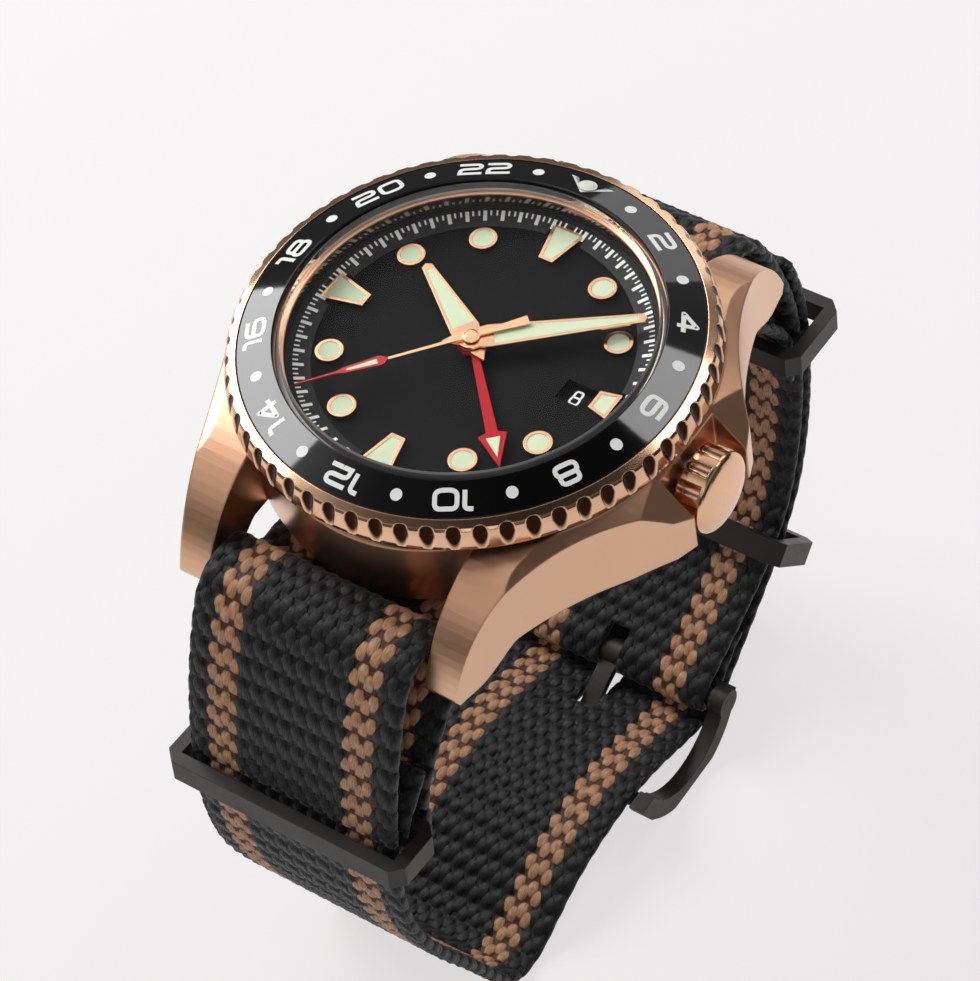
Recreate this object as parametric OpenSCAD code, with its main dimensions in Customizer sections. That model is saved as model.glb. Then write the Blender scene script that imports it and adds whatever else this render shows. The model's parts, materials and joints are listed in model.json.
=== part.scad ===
// Dive watch with a second time zone: 24-hour turning bezel, self-winding movement, pull-through webbing strap.
// X points to 3 o'clock, Y to 12 o'clock, Z up. The ground is z = 0 and the watch stands on its closed strap,
// with the middle of the strap's seat at the origin.

/* [Stance] */
// Height of the dial's face above the ground
dial_h = 63; // [62.5:0.1:64]

/* [Case] */
// Radius of the case wall between the lugs
case_r = 20.4; // [20.2:0.1:20.5]
// Depth of the case's flat underside below the dial
case_bottom = 8.3; // [8.2:0.1:8.4]
// Distance of the lug tips from the centre
lug_reach = 26.1; // [25.9:0.1:26.4]
// Depth of the lug tips below the dial
lug_drop = 10.6; // [10.5:0.1:10.8]
// Width of a lug at its tip
lug_tip_w = 3.1; // [2.8:0.1:3.3]
// Gap between a pair of lugs
lug_gap = 22.6; // [22.5:0.1:22.8]
// Distance of the crown guards' ends from the centre
guard_reach = 24.5; // [24.3:0.1:24.8]
// Depth of the case back's outer face below the dial
back_z = 10.55; // [10.5:0.05:10.6]

/* [Bezel and crystal] */
// Largest radius of the bezel
bezel_r = 21.5; // [21.4:0.05:21.6]
// Number of scallops around the bezel
scallops = 60; // [48:1:64]
// Outer radius of the bezel insert
insert_r = 20.2; // [20.1:0.05:20.25]
// Radius of the crystal
crystal_r = 16.4; // [16.3:0.05:16.4]
// Height of the crystal's top above the dial
crystal_top = 3.7; // [3.6:0.05:3.8]

/* [Crown] */
// Radius of the crown
crown_r = 3.7; // [3.5:0.1:3.8]
// Number of flutes on the crown
crown_flutes = 12; // [11:1:13]
// Depth of the crown's axis below the dial
crown_z = 4.8; // [4.75:0.01:4.85]
// Distance of the crown's outer end from the centre
crown_end = 25.2; // [25:0.1:25.6]

/* [Time shown] */
// Direction of the hour hand, clockwise from 12
hour_angle = 302.3; // [0:0.1:360]
// Direction of the minute hand, clockwise from 12
minute_angle = 53.3; // [0:0.1:360]
// Direction of the second hand, clockwise from 12
second_angle = 221.5; // [0:0.1:360]
// Direction of the 24-hour hand, clockwise from 12
gmt_angle = 136.7; // [0:0.1:360]

/* [Strap] */
// Width of the strap
strap_w = 22; // [21.6:0.1:22.2]
// Thickness of one strap layer
strap_t = 1.3; // [1.2:0.05:1.35]
// Clearance between two strap layers
layer_gap = 0.08; // [0.05:0.01:0.12]
// Radius of the spring bars' tubes
bar_r = 0.9; // [0.85:0.05:0.95]
// Wall thickness of the strap keepers
keeper_wall = 1.3; // [1.2:0.1:1.4]
// Length of a keeper along the strap
keeper_len = 2.4; // [2:0.1:2.6]

/* [Hidden] */
$fn = 96;

gold = [0.78, 0.58, 0.46];
steel = [0.72, 0.73, 0.75];
brass = [0.80, 0.68, 0.40];
black = [0.06, 0.06, 0.07];
lume_green = [0.84, 0.87, 0.77];
red = [0.75, 0.12, 0.16];
webbing = [0.13, 0.13, 0.14];

fit = 0.05;          // radial clearance of a turning fit
seat_gap = 0.02;     // clearance between two seated faces

// ---------- curves ----------
function unit(v) = v / norm(v);
function turned(v) = [-v.y, v.x];
function bezier(a, b, c, d, n) = [for (i = [0 : n]) let (t = i / n, s = 1 - t)
    s * s * s * a + 3 * s * s * t * b + 3 * s * t * t * c + t * t * t * d];
function arc(c, r, a0, a1, n) = [for (i = [0 : n]) let (a = a0 + (a1 - a0) * i / n) c + r * [cos(a), sin(a)]];
// A smooth curve through the points, n steps for each stretch
function spline(p, n) = let (m = len(p) - 1) concat([for (i = [0 : m - 1], k = [0 : n - 1])
    let (a = p[max(i - 1, 0)], b = p[i], c = p[i + 1], d = p[min(i + 2, m)], t = k / n)
    b + t * (c - a) / 2 + t * t * (2 * a - 5 * b + 4 * c - d) / 2
      + t * t * t * (3 * b - a - 3 * c + d) / 2], [p[m]]);
function normal_at(p, i) = turned(unit(p[min(i + 1, len(p) - 1)] - p[max(i - 1, 0)]));
function shifted(p, d) = [for (i = [0 : len(p) - 1]) p[i] + d * normal_at(p, i)];
function reversed(p) = [for (i = [len(p) - 1 : -1 : 0]) p[i]];
function flipped(p) = [for (q = reversed(p)) [-q.x, q.y]];

// ---------- placing ----------
seat_y = -19.7;                     // the seat under the strap, seen from the dial's centre
module head() translate([0, -seat_y, dial_h]) children();
// An outline drawn in (Y, Z), given its width along X
module across(w) rotate([90, 0, 90]) linear_extrude(w, center = true) children();
module clockwise(angle) rotate([0, 0, -angle]) children();
module ring(r_out, r_in, z0, z1) translate([0, 0, z0]) difference() {
    cylinder(h = z1 - z0, r = r_out);
    translate([0, 0, -1]) cylinder(h = z1 - z0 + 2, r = r_in);
}
module disc(r, z0, z1) translate([0, 0, z0]) cylinder(h = z1 - z0, r = r);
module bar_2d(a, b, w) {
    translate(a) rotate(atan2(b.y - a.y, b.x - a.x)) translate([0, -w / 2]) square([norm(b - a), w]);
    translate(a) circle(d = w);
    translate(b) circle(d = w);
}

// ---------- case ----------
crystal_bottom = 2.2;
lip_t = 0.25;                       // thickness of the lip under the crystal
lip_r = 16.1;                       // opening of that lip, the same as the rehaut's
seat_r = crystal_r + 0.35;          // wall around the crystal's gasket
neck_r = 18.2;                      // neck that the bezel turns on
neck_top = 2.6;
cavity_r = 16.9;
back_open_r = 17.35;
tube_hole_r = 1.5;
guard_half = 4.15;                  // half of the gap between the crown guards
recess_x = 21.35;
bar_y = lug_reach - 2.9;            // spring bar axis
bar_z = -(lug_drop - 2.2);
lug_hole_r = 0.45;
inner_x = lug_gap / 2;
tip_x = inner_x + lug_tip_w;
groove_z = 1.1;                     // groove of the bezel's spring

side_right = bezier([tip_x, -lug_reach], [tip_x + 1.1, -19], [17.6, -12.5], [guard_reach - 0.8, -6], 24);
side_left = bezier([tip_x, -lug_reach], [tip_x + 1, -19.5], [17.8, -13.5], [21.3, -5.5], 24);

module case_plan() difference() {
    polygon(concat(
        side_right, [[guard_reach, -guard_half], [guard_reach, guard_half]],
        [for (q = reversed(side_right)) [q.x, -q.y]],
        [for (q = side_left) [-q.x, -q.y]], [for (q = reversed(side_left)) [-q.x, q.y]]));
    difference() {
        square([lug_gap, 3 * lug_reach], center = true);
        circle(r = case_r);
    }
}
lug_top = bezier([12, -0.06], [21.5, -0.8], [lug_reach - 1.8, -5], [lug_reach + 0.05, -lug_drop + 0.9], 20);
back_rim_r = 18.6;
under_from = back_rim_r + 0.25;     // where the underside of the lugs begins
lug_under = bezier([lug_reach - 2.7, -lug_drop], [lug_reach - 4.6, -lug_drop + 0.2],
    [under_from + 0.9, -case_bottom - 0.1], [under_from, -case_bottom], 10);
half_side = concat(lug_top, [[lug_reach - 0.4, -lug_drop]], lug_under);
module case_side() polygon(concat(half_side, [for (q = reversed(half_side)) [-q.x, q.y]]));

module case_middle() color(gold) head() difference() {
    union() {
        intersection() {
            translate([0, 0, -12]) linear_extrude(12) case_plan();
            across(60) case_side();
            // the shoulders fall away from the bezel
            union() {
                translate([0, 0, -0.2 - 0.45 * 9]) cylinder(h = 0.45 * 9, r1 = bezel_r + 9, r2 = bezel_r);
                translate([0, 0, -12]) cylinder(h = 12 - 0.2 - 0.45 * 9, r = bezel_r + 9);
                translate([0, 0, -0.2]) cylinder(h = 0.2, r = bezel_r);
            }
        }
        translate([0, 0, -1]) cylinder(h = 1 + neck_top, r = neck_r);
    }
    // tops and undersides of the crown guards
    rotate([90, 0, 0]) linear_extrude(20, center = true)
        polygon([[case_r + 0.4, 0], [guard_reach + 0.1, -3.6], [guard_reach + 5.5, -8.7], [guard_reach + 5.5, 1],
            [case_r + 0.4, 1]]);
    rotate([90, 0, 0]) linear_extrude(20, center = true)
        polygon([[21, -case_bottom], [26, -case_bottom + 1.6], [26, -13], [21, -13]]);
    translate([recess_x, -guard_half, -14]) cube([8, 2 * guard_half, 16]);
    translate([0, 0, -case_bottom - 1]) cylinder(h = 2.1, r = back_open_r);
    translate([0, 0, -case_bottom]) cylinder(h = case_bottom + crystal_bottom - lip_t, r = cavity_r);
    cylinder(h = 3, r = lip_r);
    translate([0, 0, crystal_bottom]) cylinder(h = 2, r = seat_r);
    ring(neck_r + 1, neck_r - 0.3, groove_z - 0.02, groove_z + 0.42);
    translate([12, 0, -crown_z]) rotate([0, 90, 0]) cylinder(h = 14, r = tube_hole_r);
    for (x = [-1, 1], y = [-1, 1])
        translate([x * (inner_x - 1), y * bar_y, bar_z]) rotate([0, x * 90, 0]) cylinder(h = 3, r = lug_hole_r);
}

back_floor = back_z - 1.15;
gasket_in = 17.65;
gasket_out = 18.15;
module case_back() color(gold) head() difference() {
    rotate_extrude() polygon([[0, -back_z], [17, -back_z], [back_rim_r, -back_z + 0.9],
        [back_rim_r, -case_bottom - seat_gap], [back_open_r - fit, -case_bottom - seat_gap],
        [back_open_r - fit, -case_bottom + 1], [16.5, -case_bottom + 1], [16.5, -back_floor], [0, -back_floor]]);
    ring(gasket_out, gasket_in, -case_bottom - 0.32, -case_bottom + 0.1);
    // notches for the opening tool
    for (i = [0 : 5]) rotate(i * 60) translate([15.2, -0.9, -back_z - 1]) cube([1.6, 1.8, 1.4]);
}
module case_back_gasket() color(black) head()
    ring(gasket_out - seat_gap, gasket_in + seat_gap, -case_bottom - 0.3, -case_bottom - seat_gap);

crystal_bevel = 0.15;
module crystal() color([0.85, 0.9, 0.95, 0.4]) head()
    rotate_extrude() polygon([[0, crystal_bottom + seat_gap], [crystal_r, crystal_bottom + seat_gap],
        [crystal_r, crystal_top - crystal_bevel], [crystal_r - crystal_bevel, crystal_top], [0, crystal_top]]);
module crystal_gasket() color([0.8, 0.8, 0.78]) head()
    ring(seat_r - seat_gap, crystal_r + seat_gap, crystal_bottom + seat_gap, neck_top - 0.05);
module rehaut_ring() color(gold) head()
    rotate_extrude() polygon([[16.15, 0.62], [cavity_r - 0.04, 0.62], [cavity_r - 0.04, crystal_bottom - lip_t - seat_gap],
        [16.25, crystal_bottom - lip_t - seat_gap]]);

// ---------- bezel ----------
bezel_in = neck_r + 0.08;
insert_t = 0.5;
insert_in = seat_r + 0.12;
insert_lo = 2.45;                   // height of the insert's outer edge
insert_hi = 3.6;                    // and of its inner edge
insert_slope = (insert_hi - insert_lo) / (insert_r - insert_in);
function insert_z(r) = insert_lo + (insert_r - r) * insert_slope;
rim_top = 2.5;
// A groove of the grip: a leaning round cut, deep at the top and running out at the foot of the wall
groove_lean = 17;
groove_r = 1.05;
module scallop() translate([bezel_r + 0.49, 0, 2]) rotate([0, -groove_lean, 0])
    translate([0, 0, -3]) cylinder(h = 6, r = groove_r, $fn = 48);
module bezel_ring() color(gold) head() difference() {
    rotate_extrude() polygon([[bezel_in, 0.05], [bezel_r, 0.05], [bezel_r, 0.4], [bezel_r - 0.12, 1.5],
        [bezel_r - 0.3, 2.0], [bezel_r - 0.48, rim_top - 0.28], [insert_r + 0.03, rim_top],
        [insert_r + 0.03, insert_z(insert_r) - insert_t], [bezel_in, insert_z(bezel_in) - insert_t - seat_gap]]);
    for (i = [0 : scallops - 1]) rotate(i * 360 / scallops) scallop();
    ring(bezel_in + 0.3, neck_r - 1, groove_z - 0.05, groove_z + 0.45);
}
module bezel_insert() color(black) head() rotate_extrude() polygon([
    [insert_r, insert_lo - insert_t + seat_gap], [insert_r, insert_lo - 0.1], [insert_r - 0.1, insert_lo + 0.035],
    [insert_in + 0.12, insert_hi - 0.04], [insert_in, insert_hi - 0.14],
    [insert_in, insert_hi - insert_t + seat_gap]]);
pip_r = (insert_in + insert_r) / 2 - 0.1;
module bezel_lume_pip() color(lume_green) head()
    translate([0, pip_r, insert_z(pip_r)]) rotate([-atan(insert_slope), 0, 0]) {
        translate([0, 0, 0.01]) cylinder(h = 0.12, r = 0.85, $fn = 48);
        translate([0, 0, 0.13]) cylinder(h = 0.1, r1 = 0.7, r2 = 0.45, $fn = 48);
    }
// A sprung wire ring that holds the bezel on the neck, with a cut to spread it
module bezel_spring() color(steel) head() difference() {
    ring(bezel_in + 0.2, neck_r - 0.25, groove_z + 0.02, groove_z + 0.36);
    rotate(140) translate([neck_r - 2, -0.8, groove_z - 1]) cube([4, 1.6, 3]);
}

// ---------- crown and winding ----------
stem_r = 0.6;
tube_out_r = 1.9;
tube_end = 23.3;
crown_in = 21.8;
crown_bore = 2.3;
crown_floor = 23.95;
module along_stem(x0) translate([x0, 0, -crown_z]) rotate([0, 90, 0]) children();
module crown_tube() color(steel) head() along_stem(17.4) difference() {
    union() {
        cylinder(h = tube_end - 17.4, r = tube_hole_r);
        translate([0, 0, recess_x + seat_gap - 17.4]) cylinder(h = tube_end - recess_x - seat_gap, r = tube_out_r);
    }
    translate([0, 0, -1]) cylinder(h = 10, r = stem_r + fit);
}
module crown() color(gold) head() along_stem(crown_in) difference() {
    h = crown_end - crown_in;
    rotate_extrude() polygon(concat([[0, 0], [crown_r - 0.25, 0], [crown_r, 0.2], [crown_r, h - 0.85]],
        bezier([crown_r, h - 0.85], [crown_r - 0.2, h - 0.35], [crown_r - 1.2, h - 0.05], [0, h], 10)));
    for (i = [0 : crown_flutes - 1]) rotate((i + 0.5) * 360 / crown_flutes)
        translate([crown_r + 0.35, 0, -1]) cylinder(h = h - 0.1, r = 0.7, $fn = 32);
    translate([0, 0, -1]) cylinder(h = 1 + crown_floor - crown_in, r = crown_bore);
    translate([0, 0, 1]) cylinder(h = 1.75, r = stem_r + 0.01);
}
module crown_gasket() color(black) head() along_stem(23.3)
    ring(crown_bore - seat_gap, tube_out_r + fit, 0.1 - 0.8, 0.1);
module winding_stem() color(steel) head() along_stem(8.7) {
    cylinder(h = 24.5 - 8.7, r = stem_r);
}
module sliding_pinion() color(steel) head() along_stem(9.0) difference() {
    linear_extrude(1.3) gear_2d(10, 0.2);
    translate([0, 0, -1]) cylinder(h = 4, r = stem_r + 0.01);
}
module winding_pinion() color(steel) head() along_stem(10.36) difference() {
    linear_extrude(0.8) gear_2d(12, 0.17);
    translate([0, 0, -1]) cylinder(h = 4, r = stem_r + fit);
}
module spring_bar_tubes() color(steel) head() for (s = [-1, 1]) translate([0, s * bar_y, bar_z])
    rotate([0, 90, 0]) difference() {
        cylinder(h = lug_gap - 0.2, r = bar_r, center = true);
        cylinder(h = lug_gap + 2, r = 0.5, center = true);
    }
module spring_bar_pins() color(steel) head() for (s = [-1, 1], e = [-1, 1])
    translate([0, s * bar_y, bar_z]) rotate([0, e * 90, 0]) {
        translate([0, 0, 8.6]) cylinder(h = 4.4, r = 0.4);
        translate([0, 0, 8.6]) cylinder(h = 0.8, r = 0.48);
    }

// ---------- dial ----------
dial_r = 16.8;
dial_t = 0.4;
pipe_hole_r = 1.1;
window = [2.9, 2.2];
window_x = 10.5;
dot_at = 12.45;
dot_r = 1.25;
track_in = 14.05;
module dial() color(black) head() difference() {
    translate([0, 0, -dial_t]) cylinder(h = dial_t, r = dial_r);
    translate([0, 0, -1]) cylinder(h = 2, r = pipe_hole_r);
    translate([window_x - window.x / 2, -window.y / 2, -1]) cube([window.x, window.y, 2]);
}
// The four long markers: base at r1 is wide, foot at r0 is narrow
function wedge(r0, w0, r1, w1) = [[-w0, r0], [w0, r0], [w1, r1], [-w1, r1]];
marker_r0 = 11.2;
marker_r1 = 15.2;
module wedge_2d(d) polygon(wedge(marker_r0 + d, 0.7 - 0.85 * d, marker_r1 - d, 1.62 - 1.15 * d));
module short_wedge_2d(d) polygon(wedge(12.35 + d, 0.98 - 0.85 * d, marker_r1 - 0.9 - d, 1.42 - 1.15 * d));
module marker_2d(hour, d) clockwise(hour * 30)
    if (hour == 3) short_wedge_2d(d);
    else if (hour % 3 == 0) wedge_2d(d);
    else translate([0, dot_at]) circle(r = dot_r - d, $fn = 48);
module minute_track_ring() color([0.16, 0.16, 0.17]) head() difference() {
    rotate_extrude() polygon([[track_in, seat_gap], [cavity_r - 0.1, seat_gap], [cavity_r - 0.1, 0.6],
        [15.6, 0.6], [track_in, 0.18]]);
    for (hour = [0, 3, 6, 9]) clockwise(hour * 30) translate([-1.8, 12, -1]) cube([3.6, 3.35, 3]);
}
module hour_marker_frames() color(gold) head() for (hour = [0 : 11]) difference() {
    translate([0, 0, seat_gap]) linear_extrude(0.42) marker_2d(hour, 0);
    translate([0, 0, 0.12]) linear_extrude(1) marker_2d(hour, 0.28);
}
module hour_marker_lume() color(lume_green) head() for (hour = [0 : 11])
    translate([0, 0, 0.14]) linear_extrude(0.26) marker_2d(hour, 0.3);

// ---------- hands ----------
second_z = 1.72;
minute_z = 1.38;
hour_z = 1.04;
gmt_z = 0.74;
hand_t = 0.2;
arbor_r = 0.12;                     // second hand's arbor
tube_in = arbor_r + 0.04;
tube_out = 0.30;                    // centre wheel's tube
cannon_in = tube_out + 0.01;
cannon_out = 0.46;
hour_in = cannon_out + fit;
hour_out = 0.73;
gmt_in = hour_out + fit;
gmt_out = 1.0;

module baton_2d(r, w0, w1) polygon([[0, -2.6], [0.55, -1.5], [w0 / 2, 1.45], [w1 / 2, r - 0.3], [0, r],
    [-w1 / 2, r - 0.3], [-w0 / 2, 1.45], [-0.55, -1.5]]);
// The window for the lume, drawn in by d
module baton_slot(r, w0, w1, d) polygon([[-w0 / 2 + 0.3 + d, 1.9 + d], [w0 / 2 - 0.3 - d, 1.9 + d],
    [w1 / 2 - 0.18 - d, r - 0.75 - d], [-w1 / 2 + 0.18 + d, r - 0.75 - d]]);
module baton_hand(z, r, w0, w1, bore) translate([0, 0, z]) difference() {
    union() {
        linear_extrude(hand_t) baton_2d(r, w0, w1);
        cylinder(h = hand_t, r = 1.2);
    }
    translate([0, 0, 0.06]) linear_extrude(1) baton_slot(r, w0, w1, 0);
    translate([0, 0, -1]) cylinder(h = 3, r = bore);
}
module baton_lume(z, r, w0, w1) translate([0, 0, z + 0.07]) linear_extrude(0.11) baton_slot(r, w0, w1, 0.02);

hour_len = 10.1;
minute_len = 15.05;
second_len = 15.55;
gmt_len = 14.1;
module hour_hand() color(gold) head() clockwise(hour_angle) baton_hand(hour_z, hour_len, 2.6, 0.95, hour_out + 0.01);
module hour_hand_lume() color(lume_green) head() clockwise(hour_angle) baton_lume(hour_z, hour_len, 2.6, 0.95);
module minute_hand() color(gold) head() clockwise(minute_angle)
    baton_hand(minute_z, minute_len, 2.5, 0.95, cannon_out + 0.01);
module minute_hand_lume() color(lume_green) head() clockwise(minute_angle)
    baton_lume(minute_z, minute_len, 2.5, 0.95);
// Right-hand outline of the second hand, from its counterweight to its tip
second_half = [[0.5, -5.1], [0.28, -2], [0.18, 0], [0.13, 7.5], [0.36, 7.6], [0.53, 8], [0.51, 8.4], [0.3, 11.2],
    [0.1, 11.9], [0.05, second_len]];
module second_slot(d) polygon([[-0.3 + d, 8.25 + d], [0.3 - d, 8.25 + d], [0.12 - d / 2, 11 - d],
    [-0.12 + d / 2, 11 - d]]);
module second_hand() color(gold) head() clockwise(second_angle) translate([0, 0, second_z]) {
    difference() {
        linear_extrude(0.14) {
            polygon(concat(second_half, [for (q = reversed(second_half)) [-q.x, q.y]]));
            circle(r = 0.75);
        }
        translate([0, 0, 0.05]) linear_extrude(1) second_slot(0);
        translate([0, 0, -1]) cylinder(h = 1.1, r = arbor_r + 0.01);
    }
    translate([0, 0, 0.14]) cylinder(h = 0.16, r1 = 0.7, r2 = 0.45);
}
module second_hand_lume() color(lume_green) head() clockwise(second_angle)
    translate([0, 0, second_z + 0.06]) linear_extrude(0.07) second_slot(0.02);
module gmt_hand() color(red) head() clockwise(gmt_angle) translate([0, 0, gmt_z]) difference() {
    linear_extrude(0.16) {
        polygon([[-0.3, 0], [0.3, 0], [0.5, 10.2], [1.25, 10.5], [0.95, 11.3], [0, gmt_len], [-0.95, 11.3],
            [-1.25, 10.5], [-0.5, 10.2]]);
        circle(r = 1.35);
    }
    translate([0, 0, 0.05]) linear_extrude(1) polygon([[-0.66, 10.75], [0.66, 10.75], [0, 13.1]]);
    translate([0, 0, -1]) cylinder(h = 3, r = gmt_out + 0.01);
}
module gmt_hand_lume() color(lume_green) head() clockwise(gmt_angle)
    translate([0, 0, gmt_z + 0.06]) linear_extrude(0.09) polygon([[-0.62, 10.77], [0.62, 10.77], [0, 13.02]]);

// ---------- wheels ----------
// Straight-sided teeth; a tooth points along X
module gear_2d(teeth, mod) {
    step = 360 / teeth;
    polygon([for (i = [0 : teeth - 1], k = [0 : 3])
        let (a = (i + [-0.29, -0.12, 0.12, 0.29][k]) * step, r = mod * (teeth / 2 + [-1.15, 0.85, 0.85, -1.15][k]))
        r * [cos(a), sin(a)]]);
}
function out_r(teeth, mod) = mod * (teeth / 2 + 0.85);
// A wheel with five arms between z0 and z1
module wheel(teeth, mod, z0, z1, hub, phase) {
    rim = mod * (teeth / 2 - 1.15) - 0.35;
    translate([0, 0, z0]) linear_extrude(z1 - z0) {
        difference() {
            rotate(phase) gear_2d(teeth, mod);
            circle(r = rim);
        }
        circle(r = hub);
        for (i = [0 : 4]) rotate(i * 72) translate([0, -0.13]) square([rim + 0.1, 0.26]);
    }
}
module pinion(teeth, mod, z0, z1, phase) translate([0, 0, z0]) linear_extrude(z1 - z0) rotate(phase)
    gear_2d(teeth, mod);
// The phase that puts a gap towards the partner at this direction
function gap_phase(direction, teeth) = direction + 180 / teeth;

plate_top = -2.6;
plate_bottom = -3.5;
frame_bottom = -6.4;
bridge_top = -6.45;
bridge_bottom = -7.2;
plate_r = 12.9;

// motion works, under the dial
works_mod = 0.15;
works_at = 20 * works_mod;
works_dir = 130;
minute_wheel_at = works_at * [cos(works_dir), sin(works_dir)];
gmt_mod = works_at / 27;
date_at = 48 * gmt_mod;
date_dir = 230;
module cannon_pinion() color(steel) head() difference() {
    union() {
        pinion(10, works_mod, -2.3, -1.95, works_dir);
        disc(cannon_out, -2.3, minute_z + hand_t);
    }
    disc(cannon_in, -3, 3);
}
module minute_wheel() color(brass) head() translate(minute_wheel_at) difference() {
    union() {
        wheel(30, works_mod, -2.28, -2.05, 0.7, gap_phase(works_dir + 180, 30));
        pinion(8, works_mod, -2.06, -1.3, works_dir + 180);
        pinion(6, gmt_mod, -1.31, -0.9, works_dir + 180);
    }
    disc(0.14, -4, 0);
}
module hour_wheel() color(brass) head() difference() {
    union() {
        wheel(32, works_mod, -1.6, -1.4, 1.0, gap_phase(works_dir, 32));
        disc(hour_out, -1.6, hour_z + hand_t);
    }
    disc(hour_in, -3, 3);
}
module gmt_wheel() color(brass) head() difference() {
    union() {
        wheel(48, gmt_mod, -1.2, -1.0, 1.2, gap_phase(works_dir, 48));
        disc(gmt_out, -1.2, gmt_z + 0.16);
    }
    disc(gmt_in, -3, 3);
}
module date_driving_wheel() color(brass) head() translate(date_at * [cos(date_dir), sin(date_dir)]) difference() {
    union() {
        // its teeth stand half a step from those of the 24-hour wheel
        wheel(48, gmt_mod, -1.2, -1.0, 0.6, date_mesh);
        translate([0, 0, -1.01]) linear_extrude(0.35) bar_2d([0, 0], 2.2 * [cos(date_dir), sin(date_dir)], 0.5);
    }
    disc(0.2, -4, 0);
}
gmt_gap = gap_phase(works_dir, 48);
date_mesh = 2 * date_dir + 180 - gmt_gap + 180 / 48;
date_tip_r = 8.3;
module date_disc() color([0.08, 0.08, 0.08]) head() translate([0, 0, -0.8]) linear_extrude(0.2) difference() {
    circle(r = 12.3);
    rotate(90) polygon([for (i = [0 : 30], k = [0 : 3]) let (a = (i + [-0.2, -0.1, 0.1, 0.2][k]) * 360 / 31,
        r = [8.7, date_tip_r, date_tip_r, 8.7][k]) r * [cos(a), sin(a)]]);
}

// going train
barrel_mod = 0.2074;
barrel_dir = 100;
barrel_at = 27 * barrel_mod * [cos(barrel_dir), sin(barrel_dir)];
train_at = 4.2;
third_dir = 215;
third_at = train_at * [cos(third_dir), sin(third_dir)];
centre_mod = train_at / 27;
third_mod = train_at / 25.5;
fourth_mod = 0.126;
escape_dir = 300;
escape_at = 33 * fourth_mod * [cos(escape_dir), sin(escape_dir)];
pallet_at = [0.85, -5.85];
balance_at = [-1.6, -7.0];
escape_r = 2.05;
pivot_r = 0.1;
module barrel() color(brass) head() translate(barrel_at) {
    pinion(48, barrel_mod, -4.55, -4.25, barrel_dir + 180);
    disc(4.55, -5.05, -4.2);
    disc(0.9, -5.2, -4.1);
    disc(0.5, bridge_bottom + 0.2, plate_bottom + 0.6);
}
module centre_wheel() color(brass) head() difference() {
    union() {
        wheel(48, centre_mod, -4.0, -3.8, 0.9, third_dir);
        pinion(6, barrel_mod, -5.0, -3.9, gap_phase(barrel_dir, 6));
        disc(tube_out, -5.0, minute_z + hand_t - 0.1);
    }
    disc(tube_in, -8, 4);
}
module third_wheel() color(brass) head() translate(third_at) {
    wheel(45, third_mod, -5.4, -5.25, 0.7, third_dir + 180);
    pinion(6, centre_mod, -4.15, -3.65, gap_phase(third_dir + 180, 6));
    disc(0.16, -6.0, -3.6);
    disc(pivot_r, bridge_top - 0.5, plate_bottom + 0.5);
}
module fourth_wheel() color(brass) head() {
    wheel(60, fourth_mod, -5.85, -5.7, 0.7, escape_dir);
    pinion(6, third_mod, -5.75, -5.15, gap_phase(third_dir, 6));
    disc(arbor_r, bridge_top - 0.4, second_z + 0.09);
}
module escape_wheel() color(steel) head() translate(escape_at) {
    translate([0, 0, -4.75]) linear_extrude(0.15) {
        difference() {
            polygon([for (i = [0 : 17], k = [0 : 2]) let (a = (i + [0, 0.1, 0.55][k]) * 20,
                r = escape_r * [1, 0.98, 0.78][k]) r * [cos(a), sin(a)]]);
            circle(r = 1.25);
        }
        circle(r = 0.5);
        for (i = [0 : 3]) rotate(i * 90) translate([0, -0.12]) square([1.4, 0.24]);
    }
    pinion(6, fourth_mod, -5.95, -5.5, gap_phase(escape_dir + 180, 6));
    disc(0.14, -5.6, -3.6);
    disc(pivot_r, bridge_top - 0.4, plate_bottom + 0.5);
}
function toward(a, b) = atan2(b.y - a.y, b.x - a.x);
fork_dir = toward(pallet_at, balance_at);
module pallet_fork() color(steel) head() translate(pallet_at) {
    reach = norm(balance_at - pallet_at);
    lean = toward(pallet_at, escape_at);
    translate([0, 0, -4.8]) linear_extrude(0.2) {
        bar_2d([0, 0], (reach - 0.95) * [cos(fork_dir), sin(fork_dir)], 0.25);
        for (s = [-1, 1]) bar_2d([0, 0], 1.25 * [cos(lean + s * 62), sin(lean + s * 62)], 0.3);
        circle(r = 0.4);
    }
    disc(0.15, -5.1, -3.6);
    disc(pivot_r, -5.4, plate_bottom + 0.5);
}
balance_r = 3.9;
module balance_wheel() color(brass) head() translate(balance_at) {
    ring(balance_r, balance_r - 0.55, -6.3, -5.95);
    translate([0, 0, -6.2]) linear_extrude(0.15) for (i = [0 : 2]) rotate(i * 120 + 20)
        bar_2d([0, 0], [balance_r - 0.4, 0], 0.35);
    disc(0.5, -6.3, -5.9);
    disc(0.55, -4.8, -4.65);
    disc(0.14, -6.5, -3.6);
    disc(pivot_r, -7.0, plate_bottom + 0.5);
}
hairspring_path = [for (i = [0 : 90]) let (a = i * 12, r = 0.36 + 1.0 * i / 90) r * [cos(a), sin(a)]];
module hairspring() color([0.25, 0.35, 0.7]) head() translate(balance_at) translate([0, 0, -6.62]) {
        linear_extrude(0.1) polygon(concat(shifted(hairspring_path, 0.025),
            reversed(shifted(hairspring_path, -0.025))));
        translate([0, 0, -0.1]) difference() {
            cylinder(h = 0.3, r = 0.44);
            translate([0, 0, -1]) cylinder(h = 2, r = 0.16);
        }
    }

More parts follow.
